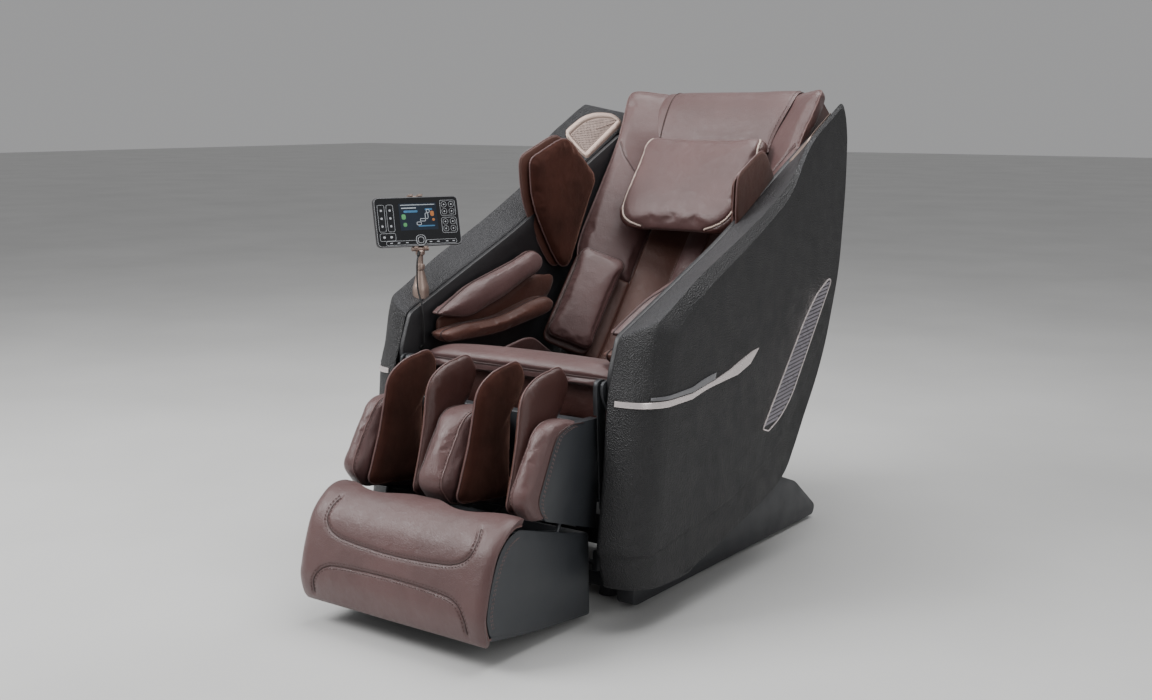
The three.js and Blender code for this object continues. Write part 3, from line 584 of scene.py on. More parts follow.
cable_path = [at(*p) for p in spline(CABLE_ROUTE)]
cable = tube("cable", cable_path, CABLE_DIAMETER / 2, CABLE_SKIN, sides=12)
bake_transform(cable)
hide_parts("tablet_cable")
grommet = lathe("cable_grommet", [(3.2, -3), (3.2, 0), (5.2, 0.6), (5.4, 2.0), (3.6, 3.2), (2.1, 3.4)],
                Vector((0, 0, 0)), RUBBER, sides=20)
grommet_place = Matrix.Translation(at(-276.8, -505.5, 518))
grommet.data.transform(grommet_place @ Matrix.Rotation(math.radians(90), 4, "Y"))
fitted(grommet, "upper")

# ---- Side shells ----

PANEL_INNER, PANEL_OUTER = 290, 384
FRONT_ROUND, REAR_TAPER, RIDGE_RISE = 88, 140, 30
PANEL_FOOT, PANEL_TIP = (-598, 84), (412, 1042)  # its lowest front and highest rear corners
CAP_SLOPE = 0.471  # rise of the arm cap per length
PANEL_OUTLINE = outline([
    (*PANEL_FOOT, 14), (-622, 150, 34), (-600, 292, 60), (-582, 483, 30), (-566, 523, 20), (-539, 600, 12),
    (-322, 690, 50), (-163, 756, 50), (9, 838, 60), (194, 932, 50), (324, 996, 30), (*PANEL_TIP, 24),
    (440, 1000, 30), (440, 871, 60), (417, 668, 60), (350, 484, 60), (287, 372, 50), (205, 285, 50),
    (90, 222, 40), (-51, 173, 40), (-299, 106, 60), (-469, 82, 40),
])
# The lower band of the shell is set back a little below this line, which fades out beside the vent.
BAND_LINE = np.array([
    (-700, 170), (-587, 163), (-512, 166), (-354, 187), (-225, 210), (-89, 252), (-18, 287), (54, 345),
    (130, 432), (210, 535), (300, 680),
], float)
BAND_DEPTH = 7.0


def front_share(y):
    return 1 - smooth(y, -540, -330)


def rear_share(y):
    return smooth(y, -40, 300)


def ridge_share(y):
    """Where the ridge lies across the cap; the bevel beside it narrows to the rear."""
    return 0.76 + 0.14 * smooth(y, -500, 350)


def shell_point(y, z, out):
    """A point of the shell from its side outline, for a share out of the width, from inner to outer."""
    top = smooth(z - (600 + (y + 539) * CAP_SLOPE), -70, -25)
    ridge = ridge_share(y)
    drop = 24 - 12 * smooth(y, -500, 350)
    rise = np.where(out < ridge, RIDGE_RISE * out / ridge, RIDGE_RISE - drop * (out - ridge) / (1 - ridge))
    round_in = 1 - np.sqrt(np.maximum(0, 1 - out * out))
    new_y = y + FRONT_ROUND * front_share(y) * round_in - REAR_TAPER * rear_share(y) * out
    new_z = z + top * rise
    x = PANEL_INNER + (PANEL_OUTER - PANEL_INNER) * out
    line = np.interp(new_y, BAND_LINE[:, 0], BAND_LINE[:, 1])
    below = smooth(line - new_z, -3, 3) * (1 - smooth(new_y, 40, 230)) * BAND_DEPTH
    front = front_share(y)
    x = x - below * np.where(front > 0, out * out, 1)
    new_y = new_y + below * front * np.sqrt(np.maximum(0, 1 - out * out))
    return x, new_y, new_z


def panel_edges(rows):
    """The outline split at its foot and tip into two lines of equal count."""
    start = np.argmin(np.linalg.norm(PANEL_OUTLINE - PANEL_FOOT, axis=1))
    end = np.argmin(np.linalg.norm(PANEL_OUTLINE - PANEL_TIP, axis=1))
    front = PANEL_OUTLINE[start:end + 1]
    rear = np.vstack([PANEL_OUTLINE[end:], PANEL_OUTLINE[:start + 1]])[::-1]
    return resampled(front, rows, False), resampled(rear, rows, False)


def side_shell():
    rows = 190
    front_edge, rear_edge = panel_edges(rows)
    wall = np.concatenate([np.linspace(0, 0.6, 10), np.linspace(0.62, 0.74, 7), np.linspace(0.76, 1, 10)])
    face = np.concatenate([np.linspace(0, 0.8, 46), np.linspace(0.8, 1, 34)[1:]])[1:-1]
    made = []
    for (fy, fz), (ry, rz) in zip(front_edge, rear_edge):
        ridge = ridge_share(fy)
        # Columns bunch so that one of them runs exactly along the ridge.
        outs = np.where(wall < 0.68, wall / 0.68 * ridge, ridge + (wall - 0.68) / 0.32 * (1 - ridge))
        ys = np.concatenate([np.full(len(outs), fy), fy + (ry - fy) * face, np.full(len(outs), ry)])
        zs = np.concatenate([np.full(len(outs), fz), fz + (rz - fz) * face, np.full(len(outs), rz)])
        share = np.concatenate([outs, np.ones(len(face)), outs[::-1]])
        x, y, z = shell_point(ys, zs, share)
        made.append([at(*p) for p in zip(x, y, z)])
    shell = grid_object("side_shell_left", made, SHELL, 24)
    shell.data.materials.append(CAP_SHELL_PAINTED_LIGHT)
    thickened(shell, 0.004)
    # Faces turned up along the arm cap take the lighter copy: painted light on the same plastic as the side
    for facet in shell.data.polygons:
        centre = facet.center
        cap_line = 0.600 + (centre.y - 0.183 + 0.539) * CAP_SLOPE
        if facet.normal.z > 0.55 and centre.z > cap_line - 0.02 and facet.normal.x < 0.25:
            facet.material_index = 1
    return shell


both_sides(side_shell(), "side_shell", "upper", "side_panel")


def front_line(z):
    """y of the outline's front edge at a height."""
    front_edge, _ = panel_edges(400)
    return np.interp(z, front_edge[:, 1], front_edge[:, 0])


def band_on_shell(name, edges, finish, thickness):
    """A strip laid on the shell from the front edge's inner side round to the outer face.

    edges is a list of (travel, low z, high z); travel below 1 is the share round the front edge, and
    from 1 it is 1 + mm along the outer face / 1000.
    """
    travel = np.array([e[0] for e in edges])
    samples = np.unique(np.concatenate([np.linspace(travel[0], 1, 22), np.linspace(1, travel[-1], 50)]))
    rows = []
    for t in samples:
        low = np.interp(t, travel, [e[1] for e in edges])
        high = np.interp(t, travel, [e[2] for e in edges])
        row = []
        for k in range(7):
            z = low + (high - low) * k / 6
            start = float(front_line(z))
            if t <= 1:
                out = math.sin(t * math.pi / 2)
                x, y, z2 = shell_point(np.float64(start), np.float64(z), np.float64(out))
            else:
                x, y, z2 = shell_point(np.float64(start + (t - 1) * 1000), np.float64(z), np.float64(1.0))
            row.append(at(float(x), float(y), float(z2)))
        rows.append(row)
    strip = grid_object(name, rows, finish, 30)
    if strip.data.polygons[len(strip.data.polygons) // 2].normal.x < 0:
        strip.data.flip_normals()
    return softened(thickened(strip, thickness, 1), 0.0006)


# Travel along the outer face is measured in the outline's own y, from its front edge.
STRIP_LOW = [(0.12, 466, 477), (0.5, 463, 475), (1.0, 461, 474), (1.1, 462, 474), (1.2, 470, 480),
             (1.26, 476, 487), (1.32, 481, 500), (1.36, 484, 513), (1.41, 500, 527), (1.436, 529, 530)]
STRIP_LENS = [(0.62, 478, 484), (1.0, 475.5, 484), (1.1, 475.5, 487), (1.2, 481, 496), (1.255, 487.5, 502),
              (1.262, 489, 503)]
strip = band_on_shell("light_strip_left_blade", STRIP_LOW, SILVER, 0.0024)
lens = band_on_shell("light_strip_left_lens", STRIP_LENS, STRIP_GLASS, 0.0016)
both_sides(strip, "light_strip_blade", "upper", "light_strip",
           extras=[(lens, "light_strip_lens")])

# ---- Vents ----

VENT_OUTLINE = outline([
    (-101, 338, 6), (-72, 328, 6), (-20, 348, 20), (36, 386, 40), (236, 646, 20), (218, 652, 6),
    (158, 622, 12), (100, 572, 40),
])


SLAT_COUNT, SLAT_PITCH, SLAT_DEPTH = 32, 14.5, 5.5


def on_side(y, z, w):
    """A point w proud of the outer face."""
    return at(PANEL_OUTER + w, y, z)


def clipped(origin, direction, loop):
    """The stretch of a line inside a closed loop, as two points, or None."""
    hits = []
    for a, b in zip(loop, np.roll(loop, -1, axis=0)):
        edge = b - a
        cross = direction[0] * edge[1] - direction[1] * edge[0]
        if abs(cross) < 1e-9:
            continue
        t = ((a[0] - origin[0]) * edge[1] - (a[1] - origin[1]) * edge[0]) / cross
        s = ((a[0] - origin[0]) * direction[1] - (a[1] - origin[1]) * direction[0]) / cross
        if 0 <= s < 1:
            hits.append(t)
    if len(hits) < 2:
        return None
    return origin + direction * min(hits), origin + direction * max(hits)


def vent():
    loop = resampled(VENT_OUTLINE, 160)
    inner = inset(loop, 3.4)
    ring = []
    for a, b in zip(loop, inner):
        ring.append([on_side(*a, 0.1), on_side(*a, 2.0), on_side(*(a * 0.7 + b * 0.3), 2.6),
                     on_side(*(a * 0.3 + b * 0.7), 2.6), on_side(*b, 2.0), on_side(*b, 0.1)])
    edge = grid_object("vent_left_rim", ring, SILVER, 50, wrap_rows=True, wrap_columns=True)
    # The near-black plate behind the slats is painted shade in the vent's hollow
    bm = bmesh.new()
    add_plate(bm, inner, 0.1, 0.5, on_side)
    plate = from_bmesh("vent_left_back", bm, RECESS_PAINTED_SHADE, 30)
    bm = bmesh.new()
    axis = np.array((337.0, 308.0))
    axis /= np.linalg.norm(axis)
    slat = np.array((0.995, 0.1))  # the slats lie nearly level, across the vent
    for k in range(SLAT_COUNT):
        origin = np.array((-101.0, 338.0)) + axis * (8 + k * SLAT_PITCH)
        ends = clipped(origin, slat, inset(loop, 3.6))
        if ends is None or np.linalg.norm(ends[1] - ends[0]) < 4:
            continue
        (y0, z0), (y1, z1) = ends
        across = np.array((-slat[1], slat[0])) * SLAT_DEPTH
        quad = [(y0, z0), (y1, z1), (y1 + across[0], z1 + across[1]), (y0 + across[0], z0 + across[1])]
        low = [bm.verts.new(on_side(y, z, 0.5)) for y, z in quad]
        high = [bm.verts.new(on_side(y, z, 2.1 if i < 2 else 1.2)) for i, (y, z) in enumerate(quad)]
        bm.faces.new(low)
        bm.faces.new(high)
        for i in range(4):
            j = (i + 1) % 4
            bm.faces.new((low[i], low[j], high[j], high[i]))
    slats = from_bmesh("vent_left_slats", bm, SLAT, 20)
    return edge, plate, slats


vent_edge, vent_plate, vent_slats = vent()
both_sides(vent_edge, "vent_rim", "upper", "vent_grille",
           extras=[(vent_plate, "vent_back"), (vent_slats, "vent_slats")])

# ---- Back: channel, centre strip, wings ----

WING_FOOT, WING_TOP = 245, 826
WING_INNER = (118, 50)  # x and y of the wing's inner edge in the back's section
WING_LEAN = math.radians(34.4)
WING_WIDTH = 186


def on_wing(u, v, w):
    """u across the wing from its inner edge, v up the back, w towards the sitter."""
    # Fuller beside the head.
    w += 18 * float(smooth(v, 560, 700)) * (1 - 0.6 * float(smooth(u, 60, WING_WIDTH)))
    x = WING_INNER[0] + u * math.cos(WING_LEAN) - w * math.sin(WING_LEAN)
    y = WING_INNER[1] - u * math.sin(WING_LEAN) - w * math.cos(WING_LEAN)
    return on_back(min(x, 275 + 13 * float(smooth(v, 640, 760))), y, v)


wing_loop = outline([
    (2, WING_FOOT + 6, 16), (WING_WIDTH * 0.76, WING_FOOT, 36), (WING_WIDTH * 0.94, WING_FOOT + 60, 60),
    (WING_WIDTH, 650, 60), (WING_WIDTH + 20, WING_TOP - 22, 44), (90, WING_TOP, 40),
    (2, WING_TOP, 10),
])
wing = pad("wing_left", wing_loop, lambda u, v, w: on_wing(u, v, w - 20), 16, 14, 5, LEATHER,
           rings=14, count=220)
wing = puffed(wing, 0.006, 0.006)
wing_skin = surface_of(wing)
seam_path = [on_wing(u, v, 8) for u, v in ((0, 512), (40, 528), (90, 552), (140, 590), (180, 630))]
seam_path = snapped(dense(seam_path, 0.003), wing_skin)
pressed(wing, [seam_path], 0.004, 0.003)
wing_seam = tube("wing_left_seam", snapped(seam_path, surface_of(wing), 0.0002), 0.0011, PIPING_DARK, 6)
wing_pipe = piping("wing_left_piping", wing_loop, on_wing, -14, wing_skin, 0.0022, PIPING_LEATHER,
                   0.0008, 240)
both_sides(wing, "wing", "upper",
           extras=[(wing_seam, "wing_seam"), (wing_pipe, "wing_piping")])


def channel_depth(x):
    """Depth of the channel's skin in the back's section."""
    return float(np.interp(abs(x), (0, 34, 60, 122, 132), (86, 84, 74, 52, 60)))


def channel():
    rows = []
    for z in np.linspace(22, 820, 150):
        row = []
        for x in np.linspace(-132, 132, 89):
            swell = 4 * math.sin(math.pi * min(1, max(0, (abs(x) - 34) / 98)))
            ripple = 1.6 * math.sin(z / 31 + abs(x) / 40) * (1 - math.exp(-max(0, 400 - z) / 120))
            near = channel_depth(x) - swell + ripple * 0.5
            row.append(on_back(x, near, z))
        back = [on_back(x, 118 - 10 * abs(x) / 132, z) for x in np.linspace(132, -132, 23)]
        rows.append(row + back)
    return loft("back_channel", rows, BROWN, 60)


back_channel = fitted(channel(), "upper")
strip_pad = pad("back_centre_strip", outline([(-29, 24, 6), (29, 24, 6), (29, 668, 6), (-29, 668, 6)]),
                lambda u, v, w: on_back(u, 84 - w, v), 3.5, 3, 3, LEATHER, rings=6, count=260)
fitted(strip_pad, "upper", ("back_cushion",))
for side, sign in SIDES:
    run = [on_back(sign * 33.5, channel_depth(33.5) - 1.2, z) for z in np.linspace(40, 360, 60)]
    fitted(stitches(f"back_channel_stitches_{side}", run, THREAD_LIGHT), "upper")

lower_wing_loop = outline([(2, 26, 10), (108, 26, 14), (108, 262, 10), (2, 262, 10)])
lower_wing = pad("lower_wing_left", lower_wing_loop, lambda u, v, w: on_wing(u, v, w - 14), 9, 8, 2,
                 BROWN)
both_sides(lower_wing, "lower_wing", "upper")



def back_side():
    """The dark side of the back, which closes the space between a wing and the rear cover."""
    section = [(134, 80), (196, 38), (257, -4), (258, 60), (258, 150), (196, 152), (134, 152)]
    rings = [[on_back(x, y, z) for x, y in section] for z in np.linspace(60, 806, 40)]
    return loft("back_side_left", rings, LEATHER_GUSSET, 30)


both_sides(back_side(), "back_side", "upper")

# ---- Hip pads ----

HIP = {"x": 178, "y": -20.5, "z": 165, "width": 124, "length": 268}


def on_hip(u, v, w):
    return on_back(HIP["x"] + u * math.cos(WING_LEAN) - w * math.sin(WING_LEAN),
                   HIP["y"] - u * math.sin(WING_LEAN) - w * math.cos(WING_LEAN), HIP["z"] + v)


half_u, half_v = HIP["width"] / 2, HIP["length"] / 2
hip_loop = outline([
    (-half_u, -half_v, 26), (half_u, -half_v, 26), (half_u, half_v, 30), (-half_u, half_v, 30),
])
hip = pad("hip_pad_left_leaf", hip_loop, lambda u, v, w: on_hip(u, v, w + 4), 8, 9, 9, LEATHER, 3,
          rings=10)
hip = puffed(hip, 0.005, 0.006)
hip_skin = surface_of(hip)
hip_pipe = piping("hip_pad_left_piping", hip_loop, on_hip, 4, hip_skin, 0.002, PIPING_DARK, 0.0006, 160)
hip_run = shot([on_hip(u, v, 30) for u, v in inset(resampled(hip_loop, 160), 9)], hip_skin,
               on_hip(0, 0, 0) - on_hip(0, 0, 10), 0.0004)
hip_stitch = stitches("hip_pad_left_stitches", hip_run, THREAD, closed=True)
hip_under = pad("hip_pad_left_under", hip_loop + (6, -12), lambda u, v, w: on_hip(u, v, w - 13), 6, 6, 1,
                LEATHER_GUSSET)
both_sides(hip, "hip_pad", "upper", "hip_pad",
           extras=[(hip_pipe, "hip_pad_piping"), (hip_stitch, "hip_pad_stitches")])
both_sides(hip_under, "hip_under", "upper")

# ---- Pillow ----

PILLOW_MIDDLE = (-38, 512)  # y and z in the back's own directions


def on_pillow(u, v, w):
    """The pillow bows a little around the head."""
    bow = 14 * (abs(u) / 196) ** 2
    return on_back(u, PILLOW_MIDDLE[0] - w + 8 - bow * 0.4, PILLOW_MIDDLE[1] + v)


pillow_loop = outline([(-184, -148, 78), (184, -148, 78), (190, 148, 46), (-190, 148, 46)], 10)
pillow = pad("pillow", pillow_loop, on_pillow, 17, 22, 13, LEATHER, 4, rings=16, count=240)
pillow = puffed(pillow, 0.006, 0.010)
pillow_skin = surface_of(pillow)


def pillow_ray(points, lift):
    """Points of the pillow's front, dropped onto it from the sitter's side."""
    inwards = on_pillow(0, 0, 0) - on_pillow(0, 0, 10)
    return shot([on_pillow(u, v, 60) for u, v in points], pillow_skin, inwards, lift)


pillow_runs = []
for side, sign in SIDES:
    # From the top corner down the side and round the lower corner.
    run = [(sign * u, v) for u, v in spline([(151, 142), (163, 122), (167, 60), (166, -20), (164, -76),
                                             (150, -112), (124, -130), (92, -137)], 12)]
    run = pillow_ray(run, 0.0)
    pillow_runs.append(run)
pressed(pillow, [dense(r) for r in pillow_runs], 0.005, 0.0035)
pillow_skin = surface_of(pillow)
for (side, sign), run in zip(SIDES, pillow_runs):
    run = snapped(dense(run, 0.003), pillow_skin, 0.0012)
    fitted(tube(f"pillow_piping_{side}", run, 0.0024, PIPING_CREAM, 8), "upper")
# The sides of the pillow outside its piping are darker gussets.
PIPING_REACH = (
    (-148, 92), (-137, 92), (-130, 124), (-112, 150), (-76, 164), (122, 164), (142, 152),
)
pillow.data.materials.append(LEATHER_GUSSET)
foot = on_pillow(0, 0, 0)
upward = (on_pillow(0, 1, 0) - foot) / MM
for face in pillow.data.polygons:
    v = (face.center - foot).dot(upward) / MM
    if abs(face.center.x) / MM > np.interp(v, *zip(*PIPING_REACH)):
        face.material_index = 1
fitted(pillow, "upper", ("head_pillow",))

# ---- Head flap ----


FLAP_LINE = [
    (-2, 636), (-7, 662), (-15, 692), (-22, 724), (-26, 760), (-23, 792), (-10, 818), (14, 832), (60, 838),
    (104, 836), (140, 826), (166, 802), (184, 768),
]
flap_path = spline(FLAP_LINE, 6)  # (y, z) in the back's own directions, from its lower front edge
FLAP_LEFT = -198


def flap_edge(z, inner=0):
    """x of the flap's free edge, which runs outwards to the top."""
    return 168 - inner + 30 * float(smooth(z, 640, 790))


def flap():
    reach = len(flap_path) - 1
    rows = []
    for i, (y, z) in enumerate(flap_path):
        ahead = np.array(flap_path[min(reach, i + 1)]) - np.array(flap_path[max(0, i - 1)])
        ahead /= np.linalg.norm(ahead)
        normal = np.array((-ahead[1], ahead[0]))
        ring = []
        right = flap_edge(z)
        for w, xs in ((4.0, np.linspace(FLAP_LEFT, right, 45)), (-3.0, np.linspace(right, FLAP_LEFT, 45))):
            for x in xs:
                edge = max(0.0, (abs(x) - (right if x > 0 else -FLAP_LEFT) + 12) / 12)
                lift = 7 * smooth(x, 60, 198) * (1 - 0.5 * i / reach)  # the free edge stands off a little
                depth = w * (1 - 0.75 * edge**2) + lift - 3 * smooth(abs(x), 120, 200)
                py, pz = np.array((y, z)) + normal * depth
                ring.append(on_back(x, py, pz))
        rows.append(ring)
    return loft("head_flap_skin", rows, LEATHER, 60)


flap_skin = fitted(flap(), "upper", ("head_flap",))
flap_tree = surface_of(flap_skin)
FLAP_STITCHES = (
    ("free", lambda z: flap_edge(z, 7), THREAD),
    ("seam", lambda z: -168, THREAD_LIGHT),
    ("beside", lambda z: -162, THREAD_LIGHT),
)
for name, place_x, thread in FLAP_STITCHES:
    run = snapped([on_back(place_x(z), y - 8, z + 4) for y, z in flap_path], flap_tree, 0.0005)
    fitted(stitches(f"head_flap_stitches_{name}", run, thread), "upper")
edge_run = snapped([on_back(-165, y - 8, z) for y, z in flap_path], flap_tree, 0.0003)
fitted(tube("head_flap_seam", edge_run, 0.0016, PIPING_DARK, 6), "upper")

# ---- Seat ----

SEAT_SECTION = [(-512, 486), (-522, 496), (-524, 508), (-516, 519), (-503, 524), (-470, 521), (-400, 508),
                (-300, 486), (-200, 464), (-120, 452), (-96, 440), (-92, 400), (-100, 382), (-250, 380),
                (-400, 380), (-474, 382), (-485, 396), (-487, 430), (-488, 462), (-493, 478), (-502, 483)]


def seat():
    loop = np.array(spline(SEAT_SECTION + SEAT_SECTION[:1], 5))[:-1]
    rows = []
    for x in np.linspace(-1, 1, 61):
        ring = []
        edge = 1 - abs(x) ** 8
        for y, z in loop:
            crown = 7 * (1 - x * x) * smooth(z, 440, 500) - 10 * (1 - edge)
            waist = (y + 300) * (1 - 0.03 * (1 - edge)) - 300
            ring.append(at(261 * x, waist, z + crown * (1 if z > 440 else 0)))
        rows.append(ring)
    return loft("seat_pad", rows, LEATHER, 70)


seat_pad = puffed(seat(), 0.006, 0.006)
seat_pad.data.materials.append(LEATHER_GUSSET)
SEAT_FRONT_TOP = 0.482  # m; the seat's front is darker below its roll
for face in seat_pad.data.polygons:
    if face.center.z < SEAT_FRONT_TOP:
        face.material_index = 1
seat_tree = surface_of(seat_pad)
seat_seam = shot([at(x, -560, 503) for x in np.linspace(-255, 255, 120)], seat_tree, (0, 1, 0))
pressed(seat_pad, [dense(seat_seam)], 0.0045, 0.0035)
fitted(seat_pad, "upper", ("seat_cushion",))
fitted(tube("seat_front_seam", seat_seam, 0.0012, PIPING_DARK, 6), "upper")

thigh_loop = outline([(-330, 492, 14), (-212, 516, 40), (-60, 440, 30), (-100, 410, 10), (-320, 470, 10)])
thigh = pad("thigh_pad_left", thigh_loop, lambda y, z, w: at(212 + w - (z - 470) * 0.5, y, z), 6, 7, 3,
            LEATHER)
both_sides(thigh, "thigh_pad", "upper")

# ---- Shoulder pads ----

shoulder_loop = outline([
    (-108, 918, 30), (-96, 938, 14), (24, 988, 40), (58, 976, 24), (154, 880, 24), (31, 652, 28),
    (-8, 652, 24), (-46, 704, 50), (-104, 822, 50),
])


def leaf(base, per_y):
    """The plane of a shoulder leaf, which leans outwards the further forward and up it reaches."""
    return lambda y, z, w: at(base + per_y * (y - 31) + 0.049 * (z - 652) - w, y, z)


front_leaf, rear_leaf = leaf(250, -0.093), leaf(264, -0.105)
inner_leaf = pad("shoulder_pad_left_inner", shoulder_loop, front_leaf, 6, 7, 4, SUEDE, 2)
inner_leaf = puffed(inner_leaf, 0.005, 0.005)
rear_loop = inset(resampled(shoulder_loop, 200), 3) + (-16, 5)
outer_leaf = pad("shoulder_pad_left_outer", rear_loop, rear_leaf, 4, 6, 1.5, BROWN, 1)
leaf_pipe = piping("shoulder_pad_left_piping", shoulder_loop, front_leaf, 0, surface_of(inner_leaf), 0.0019,
                   PIPING_LEATHER)
rear_pipe = piping("shoulder_outer_left_piping", rear_loop, rear_leaf, 0, surface_of(outer_leaf), 0.0016,
                   PIPING_LEATHER)
both_sides(inner_leaf, "shoulder_pad", "upper", "shoulder_pad",
           extras=[(leaf_pipe, "shoulder_piping"), (rear_pipe, "shoulder_outer_piping")])
both_sides(outer_leaf, "shoulder_outer", "upper")
# The sitter's left pads hold less air and lie a little lower and further back.
NEAR_PAD_SHIFT = (0.006, 0.034, -0.03)
for piece in (inner_leaf, leaf_pipe, outer_leaf, rear_pipe):
    piece.data.transform(Matrix.Translation(NEAR_PAD_SHIFT))

# ---- Arm pads ----

upper_arm_loop = outline([
    (-500, 594, 14), (-394, 573, 40), (-264, 605, 30), (-114, 662, 24), (-102, 692, 20),
    (-134, 714, 20), (-372, 655, 40),
])
lower_arm_loop = outline([
    (-500, 556, 12), (-480, 532, 16), (-290, 530, 40), (-92, 556, 20), (-76, 584, 20),
    (-104, 600, 24), (-290, 562, 40), (-480, 562, 10),
])


ARM_PAD_X = {"upper": 243, "lower": 238, "elbow": 262, "wall": 283.6}


def upper_arm(y, z, w):
    """The upper pad leans outwards to its top."""
    base = 600 + (y + 420) * 0.3
    return at(ARM_PAD_X["upper"] - w + (z - base) * 0.2, y, z)


def upright(which):
    return lambda y, z, w: at(ARM_PAD_X[which] - w, y, z)


upper_pad = pad("upper_arm_pad_left_skin", upper_arm_loop, upper_arm, 18, 12, 6, LEATHER, 2)
upper_pad = puffed(upper_pad, 0.005, 0.005)
upper_pipe = piping("upper_arm_pad_left_piping", upper_arm_loop, upper_arm, 6, surface_of(upper_pad), 0.0018,
                    PIPING_DARK)
both_sides(upper_pad, "upper_arm_pad", "upper", "upper_arm_pad",
           extras=[(upper_pipe, "upper_arm_piping")])
lower_pad = pad("lower_arm_pad_left_skin", lower_arm_loop, upright("lower"), 28, 10, 6, BROWN, 1)
lower_pad = puffed(lower_pad, 0.005, 0.004)
lower_pipe = piping("lower_arm_pad_left_piping", lower_arm_loop, upright("lower"), 10, surface_of(lower_pad),
                    0.0018, PIPING_DARK)
# The lower pad's skin carries on behind the upper pad, up to the elbow.
elbow_loop = outline([
    (-470, 538, 12), (-290, 530, 40), (-92, 554, 20), (-40, 590, 24), (-14, 638, 28), (-116, 652, 24),
    (-264, 606, 40), (-470, 580, 14),
])
elbow_pad = pad("elbow_pad_left_skin", elbow_loop, upright("elbow"), 6, 6, 4, BROWN, 0.5)
elbow_pad = puffed(elbow_pad, 0.005, 0.003)
both_sides(elbow_pad, "elbow_pad", "upper")
both_sides(lower_pad, "lower_arm_pad", "upper", "lower_arm_pad",
           extras=[(lower_pipe, "lower_arm_piping")])

# Inner walls of the armrests, up to the inner edge of the arm caps, in black plastic darker than the caps as
# painted shade under them.
arm_wall_loop = outline([
    (-560, 398, 12), (-568, 520, 20), (-537, 600, 12), (-322, 690, 50), (-163, 756, 50), (9, 838, 60),
    (194, 932, 50), (324, 994, 30), (336, 870, 60), (120, 560, 60), (10, 398, 20),
])
arm_wall = pad("arm_wall_left_skin", arm_wall_loop, upright("wall"), 6, 1.5, 0, PLASTIC, rings=3,
               count=320)
both_sides(arm_wall, "arm_wall", "upper", "arm_wall")

# ---- Speakers ----

SPEAKER_LOOP = outline([
    (293, 168, 12), (296, 344, 14), (322, 332, 14), (346, 288, 30), (359, 238, 24), (360, 156, 16),
], 8)


def cap_height(x, y):
    """Height of the arm cap's slope at a place in plan."""
    out = (x - PANEL_INNER) / (PANEL_OUTER - PANEL_INNER)
    y_source = y
    for _ in range(25):
        y_source = y + REAR_TAPER * float(rear_share(y_source)) * out
    top = float(np.interp(y_source, PANEL_TOP[:, 0], PANEL_TOP[:, 1]))
    _, _, z = shell_point(np.float64(y_source), np.float64(top), np.float64(out))
    return float(z)


front_edge_line, _ = panel_edges(600)
PANEL_TOP = front_edge_line[front_edge_line[:, 1] > 600]


def on_cap(x, y, w):
    return at(x, y, cap_height(x, y) + w)


def speaker():
    loop = resampled(SPEAKER_LOOP, 120)
    profile = ((0, 0.4), (0.6, 5.0), (2.2, 6.4), (8.5, 6.6), (10.5, 5.0), (11.5, 2.0), (11.5, 0.6))
    rings = [[on_cap(x, y, w) for x, y in inset(loop, d)] for d, w in profile]
    rim = loft("speaker_left_rim", rings, CHAMPAGNE, 50)
    inner = resampled(inset(loop, 11.2), 120)
    middle = inner.mean(axis=0)
    rings = [[on_cap(*(middle + (p - middle) * s), 3.2 + 1.6 * (1 - s * s)) for p in inner]
             for s in np.linspace(1, 0.06, 14)]
    bm = bmesh.new()
    made = add_grid(bm, rings, wrap_columns=True)
    bm.faces.new(made[-1])
    grille = from_bmesh("speaker_left_grille", bm, GRILLE)
    tree = surface_of(grille)
    # The holes are near-black discs laid on the grille: painted shade in the openings
    bm = bmesh.new()
    low, high = inner.min(axis=0), inner.max(axis=0)
    pitch, radius = 4.2, 1.25
    row_step = pitch * 0.866  # rows of a triangular pattern
    safe = inset(inner, 2.4)
    for i in range(int((high[1] - low[1]) / row_step) + 1):
        y = low[1] + i * row_step
        ends = clipped(np.array((low[0] - 5, y)), np.array((1.0, 0.0)), safe)
        if ends is None:
            continue
        x = ends[0][0] + (0.5 * pitch if i % 2 else 0)
        while x < ends[1][0]:
            place, normal, _, _ = tree.find_nearest(on_cap(x, y, 5))
            side = normal.orthogonal().normalized()
            up = normal.cross(side)
            spot = place + normal * 0.00025
            ring = [bm.verts.new(spot + radius * MM * (math.cos(a) * side + math.sin(a) * up))
                    for a in (math.pi * k / 3 for k in range(6))]
            bm.faces.new(ring)
            x += pitch
    holes = from_bmesh("speaker_left_holes", bm, RECESS_PAINTED_SHADE)
    return rim, thickened(grille, 0.001), thickened(holes, 0.0006)


speaker_rim, speaker_grille, speaker_holes = speaker()
both_sides(speaker_rim, "speaker_rim", "upper", "speaker",
           extras=[(speaker_grille, "speaker_grille"), (speaker_holes, "speaker_holes")])

# ---- Calf box ----

bolster_loop = outline([
    (-591, 430, 6), (-650, 447, 30), (-716, 446, 30), (-762, 384, 30), (-806, 306, 24), (-772, 258, 16),
    (-596, 222, 6),
])


